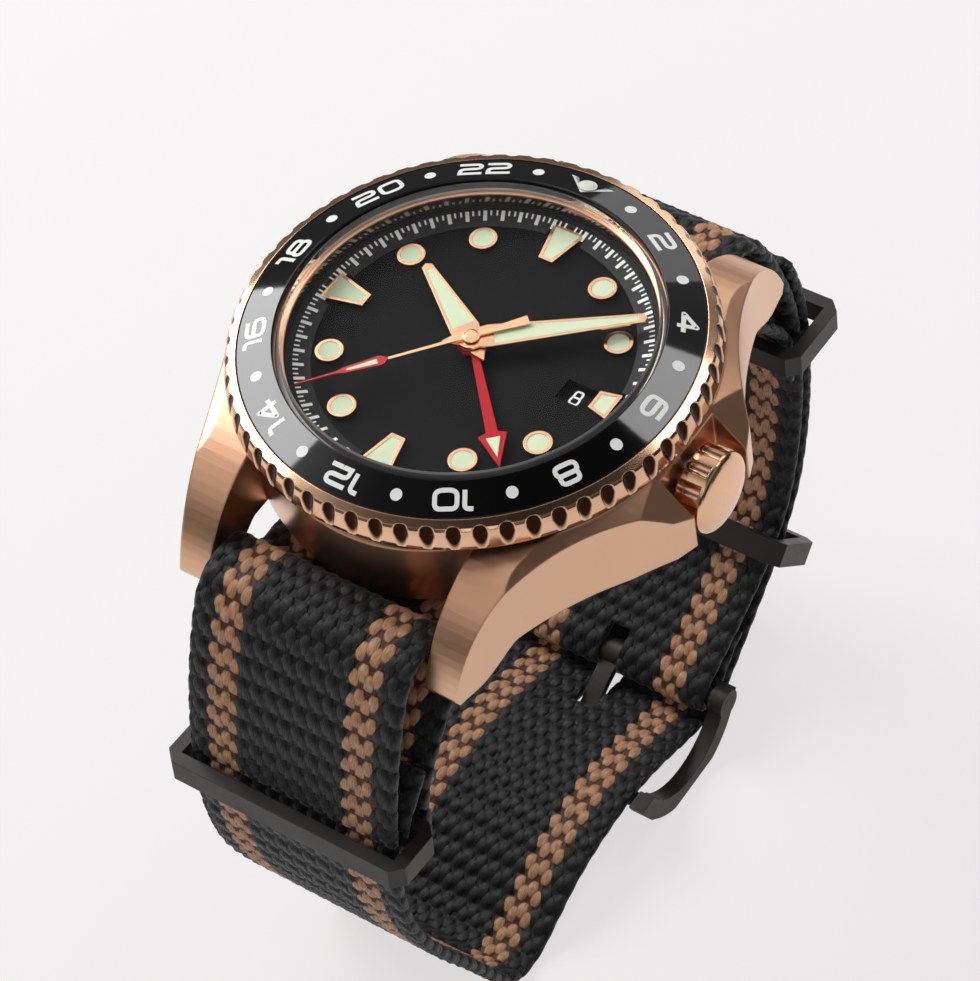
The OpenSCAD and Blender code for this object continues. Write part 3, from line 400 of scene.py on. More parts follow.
class Effects:
    """The shared effects: brushing, handling marks, soft edges and weave."""

    def __init__(self) -> None:
        """Builds each group once."""
        self.brushing = self._brushing()
        self.marks = self._marks()
        self.edges = self._edges()
        self.weave = self._weave()

    @staticmethod
    def _brushing() -> bpy.types.NodeTree:
        """Fine lines: noise on a position stretched by Stretch, in lines per metre along each axis."""
        g, given, out = open_group(
            "brush_lines",
            {"Position": "Vector", "Stretch": "Vector", "Contrast": "Float"},
            {"Lines": "Float", "Rough": "Float"},
        )
        stretched = g.vector("MULTIPLY", given.outputs["Position"], given.outputs["Stretch"]).outputs[0]
        noise = g.add("TexNoise", stretched, None, 1.0, 3.0, 0.6)
        lines = g.math("SUBTRACT", noise.outputs[0], 0.5)
        g.feed(out.inputs["Lines"], g.math("MULTIPLY", lines, given.outputs["Contrast"]))
        g.feed(out.inputs["Rough"], g.math("MULTIPLY", lines, 0.25))
        return g.tree

    @staticmethod
    def _marks() -> bpy.types.NodeTree:
        """Handling marks: broad noise that changes roughness a little, with a few finer specks."""
        g, given, out = open_group(
            "handling_marks", {"Position": "Vector", "Amount": "Float"}, {"Rough": "Float", "Shade": "Float"}
        )
        broad = g.add("TexNoise", given.outputs["Position"], None, 260.0, 4.0, 0.55)
        fine = g.add("TexNoise", given.outputs["Position"], None, 2400.0, 2.0, 0.5)
        both = g.math("ADD", broad.outputs[0], g.math("MULTIPLY", fine.outputs[0], 0.5))
        centred = g.math("SUBTRACT", both, 0.75)
        g.feed(out.inputs["Rough"], g.math("MULTIPLY", centred, given.outputs["Amount"]))
        g.feed(out.inputs["Shade"], g.math("MULTIPLY_ADD", centred, 0.12, 1.0))
        return g.tree

    @staticmethod
    def _edges() -> bpy.types.NodeTree:
        """Soft edges: the normal of a surface whose edges are rounded by Radius, on top of a height."""
        g, given, out = open_group(
            "soft_edges", {"Radius": "Float", "Height": "Float", "Depth": "Float"}, {"Normal": "Vector"}
        )
        bevel = g.add("Bevel", samples=6)
        g.fill(bevel, Radius=given.outputs["Radius"])
        bump = g.add("Bump")
        g.fill(bump, Strength=1.0, Distance=given.outputs["Depth"], Height=given.outputs["Height"])
        g.fill(bump, Normal=bevel.outputs[0])
        g.feed(out.inputs["Normal"], bump.outputs[0])
        return g.tree

    @staticmethod
    def _weave() -> bpy.types.NodeTree:
        """Webbing read from a UV in millimetres, across and along.

        Each rib holds two rows of yarn bumps, the second shifted by half a bump. A bump is an ellipse:
        1 - (across distance)^2 - (along distance)^2 in bump sizes. Stripe is 1 where the distance from the
        middle is within the stripe's limits, rounded to whole bumps.
        """
        g, given, out = open_group(
            "weave",
            {"Cell Across": "Float", "Cell Along": "Float", "Stripe At": "Float", "Stripe Half": "Float"},
            {"Height": "Float", "Gap": "Float", "Stripe": "Float", "Tone": "Float"},
        )
        uv = g.add("UVMap", uv_map="webbing").outputs[0]
        parts = g.add("SeparateXYZ", uv)
        across = g.math("DIVIDE", parts.outputs[0], given.outputs["Cell Across"])
        along = g.math("DIVIDE", parts.outputs[1], given.outputs["Cell Along"])
        heights = []
        for shift, middle in ROWS:
            x = g.math("SUBTRACT", g.math("FRACT", g.math("ADD", across, CELLS_BEFORE + shift)), 0.5)
            y = g.math("SUBTRACT", g.math("FRACT", g.math("ADD", along, CELLS_BEFORE)), middle)
            x2 = g.math("POWER", g.math("MULTIPLY", g.math("ABSOLUTE", x), BUMP_ACROSS), 2.0)
            y2 = g.math("POWER", g.math("MULTIPLY", g.math("ABSOLUTE", y), BUMP_ALONG), 2.0)
            heights.append(g.math("SUBTRACT", 1.0, g.math("ADD", x2, y2)))
        bump = g.math("MAXIMUM", g.math("MAXIMUM", heights[0], heights[1]), 0.0)
        fibre_at = g.vector("MULTIPLY", uv, (9.0, 1.2, 1.0)).outputs[0]
        fibre = g.add("TexNoise", fibre_at, None, 1.0, 3.0, 0.6)
        tone_at = g.vector("MULTIPLY", uv, (1.1, 1.1, 1.0)).outputs[0]
        tone = g.add("TexNoise", tone_at, None, 1.0, 2.0, 0.5)
        height = g.math("ADD", g.math("SQRT", bump), g.math("MULTIPLY", fibre.outputs[0], 0.5))
        first_row = g.math("GREATER_THAN", heights[0], heights[1])
        shifted = g.math("ADD", across, g.math("SUBTRACT", 0.5, g.math("MULTIPLY", first_row, 0.5)))
        bump_at = g.math("ADD", g.math("FLOOR", shifted), g.math("MULTIPLY", first_row, 0.5))
        from_middle = g.math("ABSOLUTE", g.math("MULTIPLY", bump_at, given.outputs["Cell Across"]))
        off = g.math("ABSOLUTE", g.math("SUBTRACT", from_middle, given.outputs["Stripe At"]))
        stripe = g.math("LESS_THAN", off, given.outputs["Stripe Half"])
        g.feed(out.inputs["Height"], height)
        # Gap Shade: 0 in the gaps between bumps and 1 on their tops, the mask of the painted shade there
        g.feed(out.inputs["Gap"], g.ramp(bump, 0.0, 0.5))
        g.feed(out.inputs["Stripe"], stripe)
        fine_part = g.math("MULTIPLY", fibre.outputs[0], 0.65)
        g.feed(out.inputs["Tone"], g.math("ADD", fine_part, g.math("MULTIPLY", tone.outputs[0], 0.35)))
        return g.tree


class Lay(Enum):
    """Which way the fine lines of a metal run, as lines per metre along X, Y and Z."""

    NONE = (900.0, 900.0, 900.0)
    ACROSS = (300.0, 9000.0, 2500.0)
    UPRIGHT = (7000.0, 7000.0, 260.0)
    LEVEL = (700.0, 700.0, 8000.0)


@dataclass(frozen=True)
class Metal:
    """A metal finish."""

    name: str
    colour: Colour
    roughness: float
    lay: Lay = Lay.NONE
    contrast: float = 0.35
    edge: float = 0.06
    metallic: float = 1.0
    wear: float = 0.1
    depth: float = 0.004

    def make(self, fx: Effects) -> bpy.types.Material:
        """Builds the material: brushed or plain, with handling marks and soft edges."""
        mat, g, shader = start_material(self.name)
        at = g.add("TexCoord").outputs["Object"]
        marks = g.group(fx.marks, Position=at, Amount=self.wear)
        lines = g.group(fx.brushing, Position=at, Stretch=self.lay.value, Contrast=self.contrast)
        change = g.math("ADD", marks.outputs["Rough"], lines.outputs["Rough"])
        rough = g.math("ADD", change, self.roughness, clamp=True)
        tint = g.shaded(self.colour, marks.outputs["Shade"])
        edges = g.group(fx.edges, Radius=self.edge * MM, Height=lines.outputs["Lines"], Depth=self.depth * MM)
        g.fill(shader, Base_Color=tint, Roughness=rough, Metallic=self.metallic)
        g.fill(shader, Normal=edges.outputs["Normal"])
        return mat


@dataclass(frozen=True)
class GroovedMetal:
    """Polished metal with painted shade in its cut grooves: a darker colour there than on the bands between
    them.
    """

    name: str
    colour: Colour
    groove: Colour
    roughness: float
    profile: tuple[tuple[float, float, float], ...]
    inside: float
    shallow: float = 0.03
    deep: float = 0.16
    fade: float = 0.1

    def make(self, fx: Effects) -> bpy.types.Material:
        """Builds the material; a groove lies deeper than the ring's turned profile.

        The profile is the least of its lines, each radius - lean * (height - its own height). The groove's
        painted shade comes in between the shallow and the deep limit. Nothing nearer the axis than inside has
        it.
        """
        mat, g, shader = start_material(self.name)
        at = g.add("TexCoord").outputs["Object"]
        from_axis = g.vector("SUBTRACT", at, tuple(placed((0.0, 0.0, 0.0)))).outputs[0]
        in_mm = g.vector("MULTIPLY", from_axis, (1 / MM, 1 / MM, 1 / MM)).outputs[0]
        place = g.add("SeparateXYZ", in_mm).outputs
        x2, y2 = (g.math("MULTIPLY", place[k], place[k]) for k in (0, 1))
        distance = g.math("SQRT", g.math("ADD", x2, y2))
        skin = None
        for radius, height, lean in self.profile:
            line = g.math("MULTIPLY_ADD", g.math("SUBTRACT", place[2], height), -lean, radius)
            skin = line if skin is None else g.math("MINIMUM", skin, line)
        depth = g.math("SUBTRACT", skin, distance)
        outside = g.ramp(distance, self.inside, self.inside + self.fade)
        # painted shade: the darker colour in the grooves stands in for the dark reflections of their polished
        # walls
        groove_shade_mask = g.math("MULTIPLY", g.ramp(depth, self.shallow, self.deep), outside)
        marks = g.group(fx.marks, Position=at, Amount=0.08)
        edges = g.group(fx.edges, Radius=0.12 * MM, Height=marks.outputs["Rough"], Depth=0.002 * MM)
        colour = g.mix(groove_shade_mask, linear(self.colour), linear(self.groove))
        rough = g.math("ADD", marks.outputs["Rough"], self.roughness, clamp=True)
        g.fill(shader, Base_Color=colour, Roughness=rough, Normal=edges.outputs["Normal"], Metallic=1.0)
        return mat


@dataclass(frozen=True)
class CaseMetal:
    """The case's metal: brushed where it faces up, satin on its side walls, which get a lighter colour as
    painted light.
    """

    name: str
    top: Colour
    side: Colour
    top_rough: float
    side_rough: float

    def make(self, fx: Effects) -> bpy.types.Material:
        """Builds the material, choosing top or side by how far the surface faces up; the change of roughness
        and brushing is the real finish, the change of colour is painted light.
        """
        mat, g, shader = start_material(self.name)
        coords = g.add("TexCoord")
        at = coords.outputs["Object"]
        up = g.ramp(g.add("SeparateXYZ", coords.outputs["Normal"]).outputs[2], 0.35, 0.6)
        across = g.group(fx.brushing, Position=at, Stretch=Lay.ACROSS.value, Contrast=0.9)
        level = g.group(fx.brushing, Position=at, Stretch=Lay.LEVEL.value, Contrast=0.05)
        marks = g.group(fx.marks, Position=at, Amount=0.03)
        lines = g.add("Mix", up)
        g.feed(lines.inputs[2], level.outputs["Lines"])
        g.feed(lines.inputs[3], across.outputs["Lines"])
        rough = g.add("MapRange", up, 0.0, 1.0, self.side_rough, self.top_rough).outputs[0]
        lined = g.math("MULTIPLY", across.outputs["Rough"], up)
        rough = g.math("ADD", g.math("ADD", rough, marks.outputs["Rough"]), lined, clamp=True)
        edges = g.group(fx.edges, Radius=0.3 * MM, Height=lines.outputs[0], Depth=0.006 * MM)
        # painted light: the side walls get a lighter colour than the top by the way they face
        colour = g.mix(up, linear(self.side), linear(self.top))
        g.fill(shader, Base_Color=colour, Roughness=rough, Normal=edges.outputs["Normal"], Metallic=1.0)
        return mat


@dataclass(frozen=True)
class Paint:
    """A non-metal finish: lacquer, print, luminous paste, ceramic, rubber or plastic."""

    name: str
    colour: Colour
    roughness: float
    grain: float = 900.0
    depth: float = 0.01
    edge: float = 0.03
    specular: float = 0.5
    wear: float = 0.1

    def make(self, fx: Effects) -> bpy.types.Material:
        """Builds the material: a fine grain in the height and a little change of shade."""
        mat, g, shader = start_material(self.name)
        at = g.add("TexCoord").outputs["Object"]
        marks = g.group(fx.marks, Position=at, Amount=self.wear)
        grain = g.add("TexNoise", at, None, self.grain * 10, 3.0, 0.6).outputs[0]
        tint = g.shaded(self.colour, marks.outputs["Shade"])
        edges = g.group(fx.edges, Radius=self.edge * MM, Height=grain, Depth=self.depth * MM)
        rough = g.math("ADD", marks.outputs["Rough"], self.roughness, clamp=True)
        g.fill(shader, Base_Color=tint, Roughness=rough, Normal=edges.outputs["Normal"])
        g.fill(shader, Specular_IOR_Level=self.specular)
        return mat


@dataclass(frozen=True)
class TwoTone:
    """A hand whose metal changes to lacquer beyond a distance along it."""

    name: str
    metal: Colour
    lacquer: Colour
    angle: float
    change: float
    blend: float = 0.06

    def make(self, fx: Effects) -> bpy.types.Material:
        """Builds the material: position along the hand is its dot product with the hand's direction."""
        mat, g, shader = start_material(self.name)
        at = g.add("TexCoord").outputs["Object"]
        a = math.radians(self.angle)
        from_hub = g.vector("SUBTRACT", at, (0.0, SEAT_TO_DIAL * MM, 0.0)).outputs[0]
        along = g.vector("DOT_PRODUCT", from_hub, (math.sin(a), math.cos(a), 0.0)).outputs["Value"]
        past = g.ramp(along, (self.change - self.blend) * MM, (self.change + self.blend) * MM)
        marks = g.group(fx.marks, Position=at, Amount=0.06)
        edges = g.group(fx.edges, Radius=0.04 * MM, Height=marks.outputs["Rough"], Depth=0.002 * MM)
        colour = g.mix(past, linear(self.metal), linear(self.lacquer))
        rough = g.math("ADD", marks.outputs["Rough"], 0.2, clamp=True)
        g.fill(shader, Base_Color=colour, Roughness=rough, Normal=edges.outputs["Normal"])
        g.fill(shader, Metallic=g.math("SUBTRACT", 1.0, past))
        return mat


@dataclass(frozen=True)
class Sapphire:
    """Clear crystal that lets lamps through to the dial."""

    name: str = "sapphire"

    def make(self, fx: Effects) -> bpy.types.Material:
        """Builds the material: clear glass, and see-through to shadow rays."""
        mat, g, shader = start_material(self.name)
        at = g.add("TexCoord").outputs["Object"]
        marks = g.group(fx.marks, Position=at, Amount=0.01)
        rough = g.math("MAXIMUM", marks.outputs["Rough"], 0.0)
        g.fill(shader, Base_Color=(1.0, 1.0, 1.0, 1.0), Roughness=rough, IOR=1.12, Transmission_Weight=1.0)
        clear = g.add("BsdfTransparent")
        paths = g.add("LightPath")
        blend = g.add("MixShader", paths.outputs["Is Shadow Ray"], shader.outputs[0], clear.outputs[0])
        g.feed(g.first("OUTPUT_MATERIAL").inputs[0], blend.outputs[0])
        return mat


@dataclass(frozen=True)
class Webbing:
    """Woven nylon in two colours."""

    name: str
    dark: Colour
    bright: Colour
    cell_across: float
    cell_along: float
    stripe_at: float
    stripe_half: float
    # painted shade colours for the gaps between yarn bumps, in the dark and in the bright stripe
    deep_dark: Colour = (2, 2, 3)
    deep_bright: Colour = (84, 50, 34)
    relief: float = 0.26

    def make(self, fx: Effects) -> bpy.types.Material:
        """Builds the material from the weave's height, stripe and tone, with painted shade in the gaps
        between bumps.
        """
        mat, g, shader = start_material(self.name)
        cells = {"Cell_Across": self.cell_across, "Cell_Along": self.cell_along}
        stripes = {"Stripe_At": self.stripe_at, "Stripe_Half": self.stripe_half}
        weave = g.group(fx.weave, **cells, **stripes)
        tone = g.ramp(weave.outputs["Tone"], 0.36, 0.66)
        low_dark = tuple(c * 0.35 for c in linear(self.dark)[:3]) + (1.0,)
        low_bright = tuple(c * 0.5 for c in linear(self.bright)[:3]) + (1.0,)
        dark = g.mix(tone, low_dark, linear(self.dark))
        bright = g.mix(tone, low_bright, linear(self.bright))
        colour = g.mix(weave.outputs["Stripe"], dark, bright)
        # painted shade in the gaps between yarn bumps
        deep = g.mix(weave.outputs["Stripe"], linear(self.deep_dark), linear(self.deep_bright))
        rough = g.add("MapRange", tone, 0.0, 1.0, 0.62, 0.42).outputs[0]
        bump = g.add("Bump")
        g.fill(bump, Strength=1.0, Distance=self.relief * MM, Height=weave.outputs["Height"])
        g.fill(shader, Base_Color=g.mix(weave.outputs["Gap"], deep, colour), Roughness=rough)
        g.fill(shader, Normal=bump.outputs[0], Specular_IOR_Level=0.4, Sheen_Weight=0.12, Sheen_Roughness=0.4)
        return mat


def start_material(name: str) -> tuple[bpy.types.Material, Graph, bpy.types.Node]:
    """Makes a material with nodes.

    Args:
        name: the material's name.

    Returns:
        (material, graph, Principled node).
    """
    mat = bpy.data.materials.new(name)
    mat.use_nodes = True
    graph = Graph(mat.node_tree)
    return mat, graph, graph.first("BSDF_PRINCIPLED")


def dress(piece: bpy.types.Object, material: bpy.types.Material) -> None:
    """Gives every face of a piece one material."""
    piece.data.materials.clear()
    piece.data.materials.append(material)


class Wardrobe:
    """Every finish of the watch, made once."""

    TRIM = (240, 190, 152)
    FINISHES = (
        # rose_gold_case: the side colour, lighter than the top colour, is painted light
        CaseMetal("rose_gold_case", (222, 172, 140), (236, 192, 160), 0.34, 0.3),
        # bezel_gold: the second colour, dark brown, is painted shade for the scallop grooves
        GroovedMetal(
            "bezel_gold", (238, 192, 158), (46, 24, 14), 0.13,
            ((21.5, 0.4, 0.11), (21.38, 1.5, 0.36), (21.2, 2.0, 0.82), (21.02, 2.22, 2.82)), 20.3,
        ),
        Metal("crown_gold", (240, 194, 160), 0.12, contrast=0.02, edge=0.13),
        Metal("rose_gold_trim", TRIM, 0.16, contrast=0.02, edge=0.04),
        Metal("steel_brushed", (186, 187, 190), 0.32, Lay.ACROSS),
        Metal("steel_polished", (200, 201, 204), 0.12, contrast=0.05),
        Metal("rehaut_steel", (172, 156, 146), 0.1, contrast=0.05),
        Metal("brass_train", (205, 172, 100), 0.28, Lay.ACROSS, 0.2),
        Metal("plated_plate", (190, 186, 176), 0.34, Lay.UPRIGHT, 0.25),
        Metal("blued_spring", (52, 72, 150), 0.22),
        Metal("coated_steel", (58, 56, 54), 0.42, contrast=0.05, edge=0.12, metallic=0.55, wear=0.16),
        Paint("ceramic_black", (5, 5, 6), 0.05, depth=0.0, edge=0.06, specular=0.85, wear=0.02),
        Paint("numeral_white", (240, 240, 238), 0.3),
        Paint("luminous_paste", (196, 207, 176), 0.6, depth=0.02, specular=0.2),
        Paint("luminous_pip", (222, 226, 214), 0.35, depth=0.01),
        Paint("print_white", (225, 225, 222), 0.5),
        Paint("lacquer_red", (168, 20, 28), 0.4, specular=0.12),
        Paint("dial_black", (13, 13, 14), 0.6, grain=1600, depth=0.006, specular=0.05),
        Paint("track_grey", (40, 40, 41), 0.5, grain=1500, depth=0.006, specular=0.1),
        Paint("date_black", (4, 4, 4), 0.5, specular=0.05),
        Paint("seal_black", (24, 24, 25), 0.6),
        Paint("nylon_white", (215, 214, 206), 0.5),
        # crystal_edge: grey for the crystal's frosted wall, and a painted reflection on its polished bevel
        Paint("crystal_edge", (128, 129, 130), 0.4, depth=0.0, edge=0.02),
        Paint("silver_print", (214, 215, 216), 0.3, depth=0.0),
        Paint("silver_face", (150, 151, 153), 0.42, depth=0.01),
        TwoTone("second_hand_finish", TRIM, (172, 20, 28), 221.5, 7.3),
        Sapphire(),
        Webbing("striped_webbing", (27, 27, 30), (214, 160, 120), 1.5, 2.25, 7.2, 1.75),
    )

    def __init__(self) -> None:
        """Makes the effects and then each finish by its name."""
        fx = Effects()
        self.materials = {finish.name: finish.make(fx) for finish in self.FINISHES}

    def __getitem__(self, name: str) -> bpy.types.Material:
        """The material of that name."""
        return self.materials[name]


# ---------- sub-assemblies ----------
@dataclass
class MetalWork:
    """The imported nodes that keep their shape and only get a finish."""

    frame: dict[str, Any]
    wardrobe: Wardrobe
    FINISHES = {
        "rose_gold_case": ("case_middle",),
        "bezel_gold": ("bezel_ring",),
        "crown_gold": ("crown",),
        "rose_gold_trim": ("hour_marker_frames", "hour_hand", "minute_hand"),
        "steel_brushed": ("case_back", "winding_stem", "sliding_pinion", "winding_pinion", "crown_tube"),
        "steel_polished": (
            "spring_bar_tubes", "spring_bar_pins", "bezel_spring", "casing_clamps", "movement_screws",
            "cannon_pinion", "escape_wheel", "pallet_fork",
        ),
        "rehaut_steel": ("rehaut_ring",),
        "brass_train": (
            "date_driving_wheel", "gmt_wheel", "hour_wheel", "minute_wheel", "barrel", "centre_wheel",
            "third_wheel", "fourth_wheel", "balance_wheel",
        ),
        "plated_plate": ("main_plate", "train_bridge", "balance_cock", "pallet_bridge", "rotor"),
        "blued_spring": ("hairspring",),
        "coated_steel": (
            "keeper_front", "keeper_upper", "keeper_floating", "buckle_frame", "buckle_bar", "buckle_tongue",
        ),
        "ceramic_black": ("bezel_insert",),
        "luminous_paste": (
            "hour_marker_lume", "gmt_hand_lume", "hour_hand_lume", "minute_hand_lume", "second_hand_lume",
        ),
        "luminous_pip": ("bezel_lume_pip",),
        "lacquer_red": ("gmt_hand",),
        "second_hand_finish": ("second_hand",),
        "dial_black": ("dial",),
        "track_grey": ("minute_track_ring",),
        "date_black": ("date_disc",),
        "seal_black": ("case_back_gasket", "crown_gasket"),
        "nylon_white": ("crystal_gasket", "movement_ring"),
        "sapphire": ("crystal",),
    }

    def build(self) -> list[bpy.types.Object]:
        """Dresses the nodes and adds no piece of its own."""
        for finish, names in self.FINISHES.items():
            for name in names:
                dress(self.frame["nodes"][name], self.wardrobe[finish])
        return []


@dataclass
class BezelMarks:
    """Filled numerals, dots and the triangle of the turning ring's insert."""

    wardrobe: Wardrobe
    inner: float = 16.87
    outer: float = 20.2
    high: float = 3.6
    low: float = 2.45
    middle: float = 18.55
    dot: float = 0.52
    dot_sides: int = 24
    proud: float = 0.012
    triangle: tuple[tuple[float, float], ...] = ((-2.2, 0.72), (0.0, -1.25), (2.2, 0.72))
    triangle_centre: tuple[float, float] = (0.0, 0.1)
    face_share: float = 0.8
    face_below: float = 0.004
    figures: Figures = field(default_factory=lambda: Figures(1.86, 1.55, 0.4, 0.24))

    def height(self, radius: Array) -> Array:
        """The insert's sloping face: its height falls evenly from the inner to the outer radius."""
        slope = (self.high - self.low) / (self.outer - self.inner)
        return self.low + (self.outer - radius) * slope + self.proud

    def laid(self, flat: Array, angle: float, lift: float = 0.0) -> Array:
        """Lays flat points, whose up is outwards, on the sloping face at an angle."""
        points = np.column_stack([flat[:, 0], flat[:, 1] + self.middle, np.zeros(len(flat))])
        points[:, 2] = self.height(np.hypot(points[:, 0], points[:, 1])) + lift
        return clockwise(points, angle)

    def build(self) -> list[bpy.types.Object]:
        """Makes the white marks and the triangle's bright border."""
        marks = Patchwork()
        hour_turn = 360.0 / 24
        for hour in range(2, 24, 2):
            flat, faces = self.figures.draw(str(hour))
            marks.add(self.laid(flat, hour * hour_turn), faces)
        last = 360.0 - 360.0 / self.dot_sides
        disc = arc((0.0, 0.0), self.dot, 0.0, last, self.dot_sides - 1)
        for hour in range(1, 24, 2):
            marks.add(self.laid(disc, hour * hour_turn), [tuple(range(self.dot_sides))])
        white = marks.build("bezel_figures")
        dress(white, self.wardrobe["numeral_white"])
        outer = np.array(self.triangle)
        centre = np.array(self.triangle_centre)
        inner = centre + (outer - centre) * self.face_share
        border = Patchwork()
        quads = [(0, 1, 4, 3), (1, 2, 5, 4), (2, 0, 3, 5)]
        border.add(self.laid(np.vstack([outer, inner]), 0.0), quads)
        rim = border.build("triangle_border")
        dress(rim, self.wardrobe["silver_print"])
        fill = Patchwork()
        fill.add(self.laid(inner, 0.0, -self.face_below), [(0, 1, 2)])
        face = fill.build("triangle_face")
        dress(face, self.wardrobe["silver_face"])
        for piece, slot in ((white, "lume"), (rim, "steel"), (face, "steel")):
            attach(piece, "bezel")
        return [white, rim, face]


@dataclass
class DialPrinting:
    """Ticks of the raised minute ring and the figures of the date disc."""

    wardrobe: Wardrobe
    ring_height: float = 0.6
    flat_from: float = 15.6
    edge_from: float = 14.05
    edge_height: float = 0.18
    proud: float = 0.012
    tick_end: float = 15.55
    long_tick: tuple[float, float] = (14.6, 0.34)
    short_tick: tuple[float, float] = (15.08, 0.17)
    date_radius: float = 10.45
    date_height: float = -0.6
    date_proud: float = 0.01
    shown: int = 8
    figures: Figures = field(default_factory=lambda: Figures(0.8, 1.4, 0.2, 0.18))

    def height(self, radius: Array) -> Array:
        """The ring's face: rises evenly from its inner edge to flat_from and is level beyond."""
        slope = (self.ring_height - self.edge_height) / (self.flat_from - self.edge_from)
        return np.minimum(self.edge_height + (radius - self.edge_from) * slope, self.ring_height) + self.proud

    def tick(self, start: float, width: float, angle: float) -> Array:
        """One tick: a four-cornered bar from a radius to where all ticks end, lying on the ring."""
        half, end = width / 2, self.tick_end
        flat = np.array([[-half, start], [half, start], [half, end], [-half, end]])
        points = np.column_stack([flat, self.height(flat[:, 1])])
        return clockwise(points, angle)

    def build(self) -> list[bpy.types.Object]:
        """Makes the ticks and the dates."""
        ticks = Patchwork()
        for minute in range(60):
            if minute % 15:
                ticks.add(self.tick(*self.long_tick, minute * 6.0), [(0, 1, 2, 3)])
            for part in (1, 2):
                ticks.add(self.tick(*self.short_tick, minute * 6.0 + part * 2.0), [(0, 1, 2, 3)])
        printed = ticks.build("minute_ticks")
        dress(printed, self.wardrobe["print_white"])
        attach(printed, "case")
        dates = Patchwork()
        for day in range(1, 32):
            flat, faces = self.figures.draw(str(day))
            height = np.full(len(flat), self.date_height + self.date_proud)
            points = np.column_stack([flat[:, 0] + self.date_radius, flat[:, 1], height])
            dates.add(clockwise(points, (day - self.shown) * 360.0 / 31), faces)
        days = dates.build("date_figures")
        dress(days, self.wardrobe["print_white"])
        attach(days, "date")
        return [printed, days]


@dataclass
class CrystalRim:
    """The crystal's ground wall with its small polished bevel, a thin skin around the glass; its flat grey is
    the frosted wall's own look and, on the polished bevel, a painted reflection.
    """

    wardrobe: Wardrobe
    radius: float = 16.412
    foot: float = 2.62
    top: float = 3.71
    bevel: float = 0.15
    steps: int = 180

    def build(self) -> list[bpy.types.Object]:
        """Makes the skin: circles at the wall's foot, at its shoulder and at the bevel's inner edge."""
        a = np.linspace(0, 2 * math.pi, self.steps, endpoint=False)
        shoulder = (self.radius, self.top - self.bevel)
        rows = ((self.radius - self.bevel, self.top), shoulder, (self.radius, self.foot))
        rings = [np.column_stack([r * np.cos(a), r * np.sin(a), np.full(self.steps, z)]) for r, z in rows]
        verts = np.vstack(rings)
        i = np.arange(self.steps)
        j = (i + 1) % self.steps
        band = np.stack([i, i + self.steps, j + self.steps, j], axis=1)
        rim = new_mesh("crystal_rim", verts, np.vstack([band, band + self.steps]), smooth=False)
        dress(rim, self.wardrobe["crystal_edge"])
        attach(rim, "case")
        return [rim]


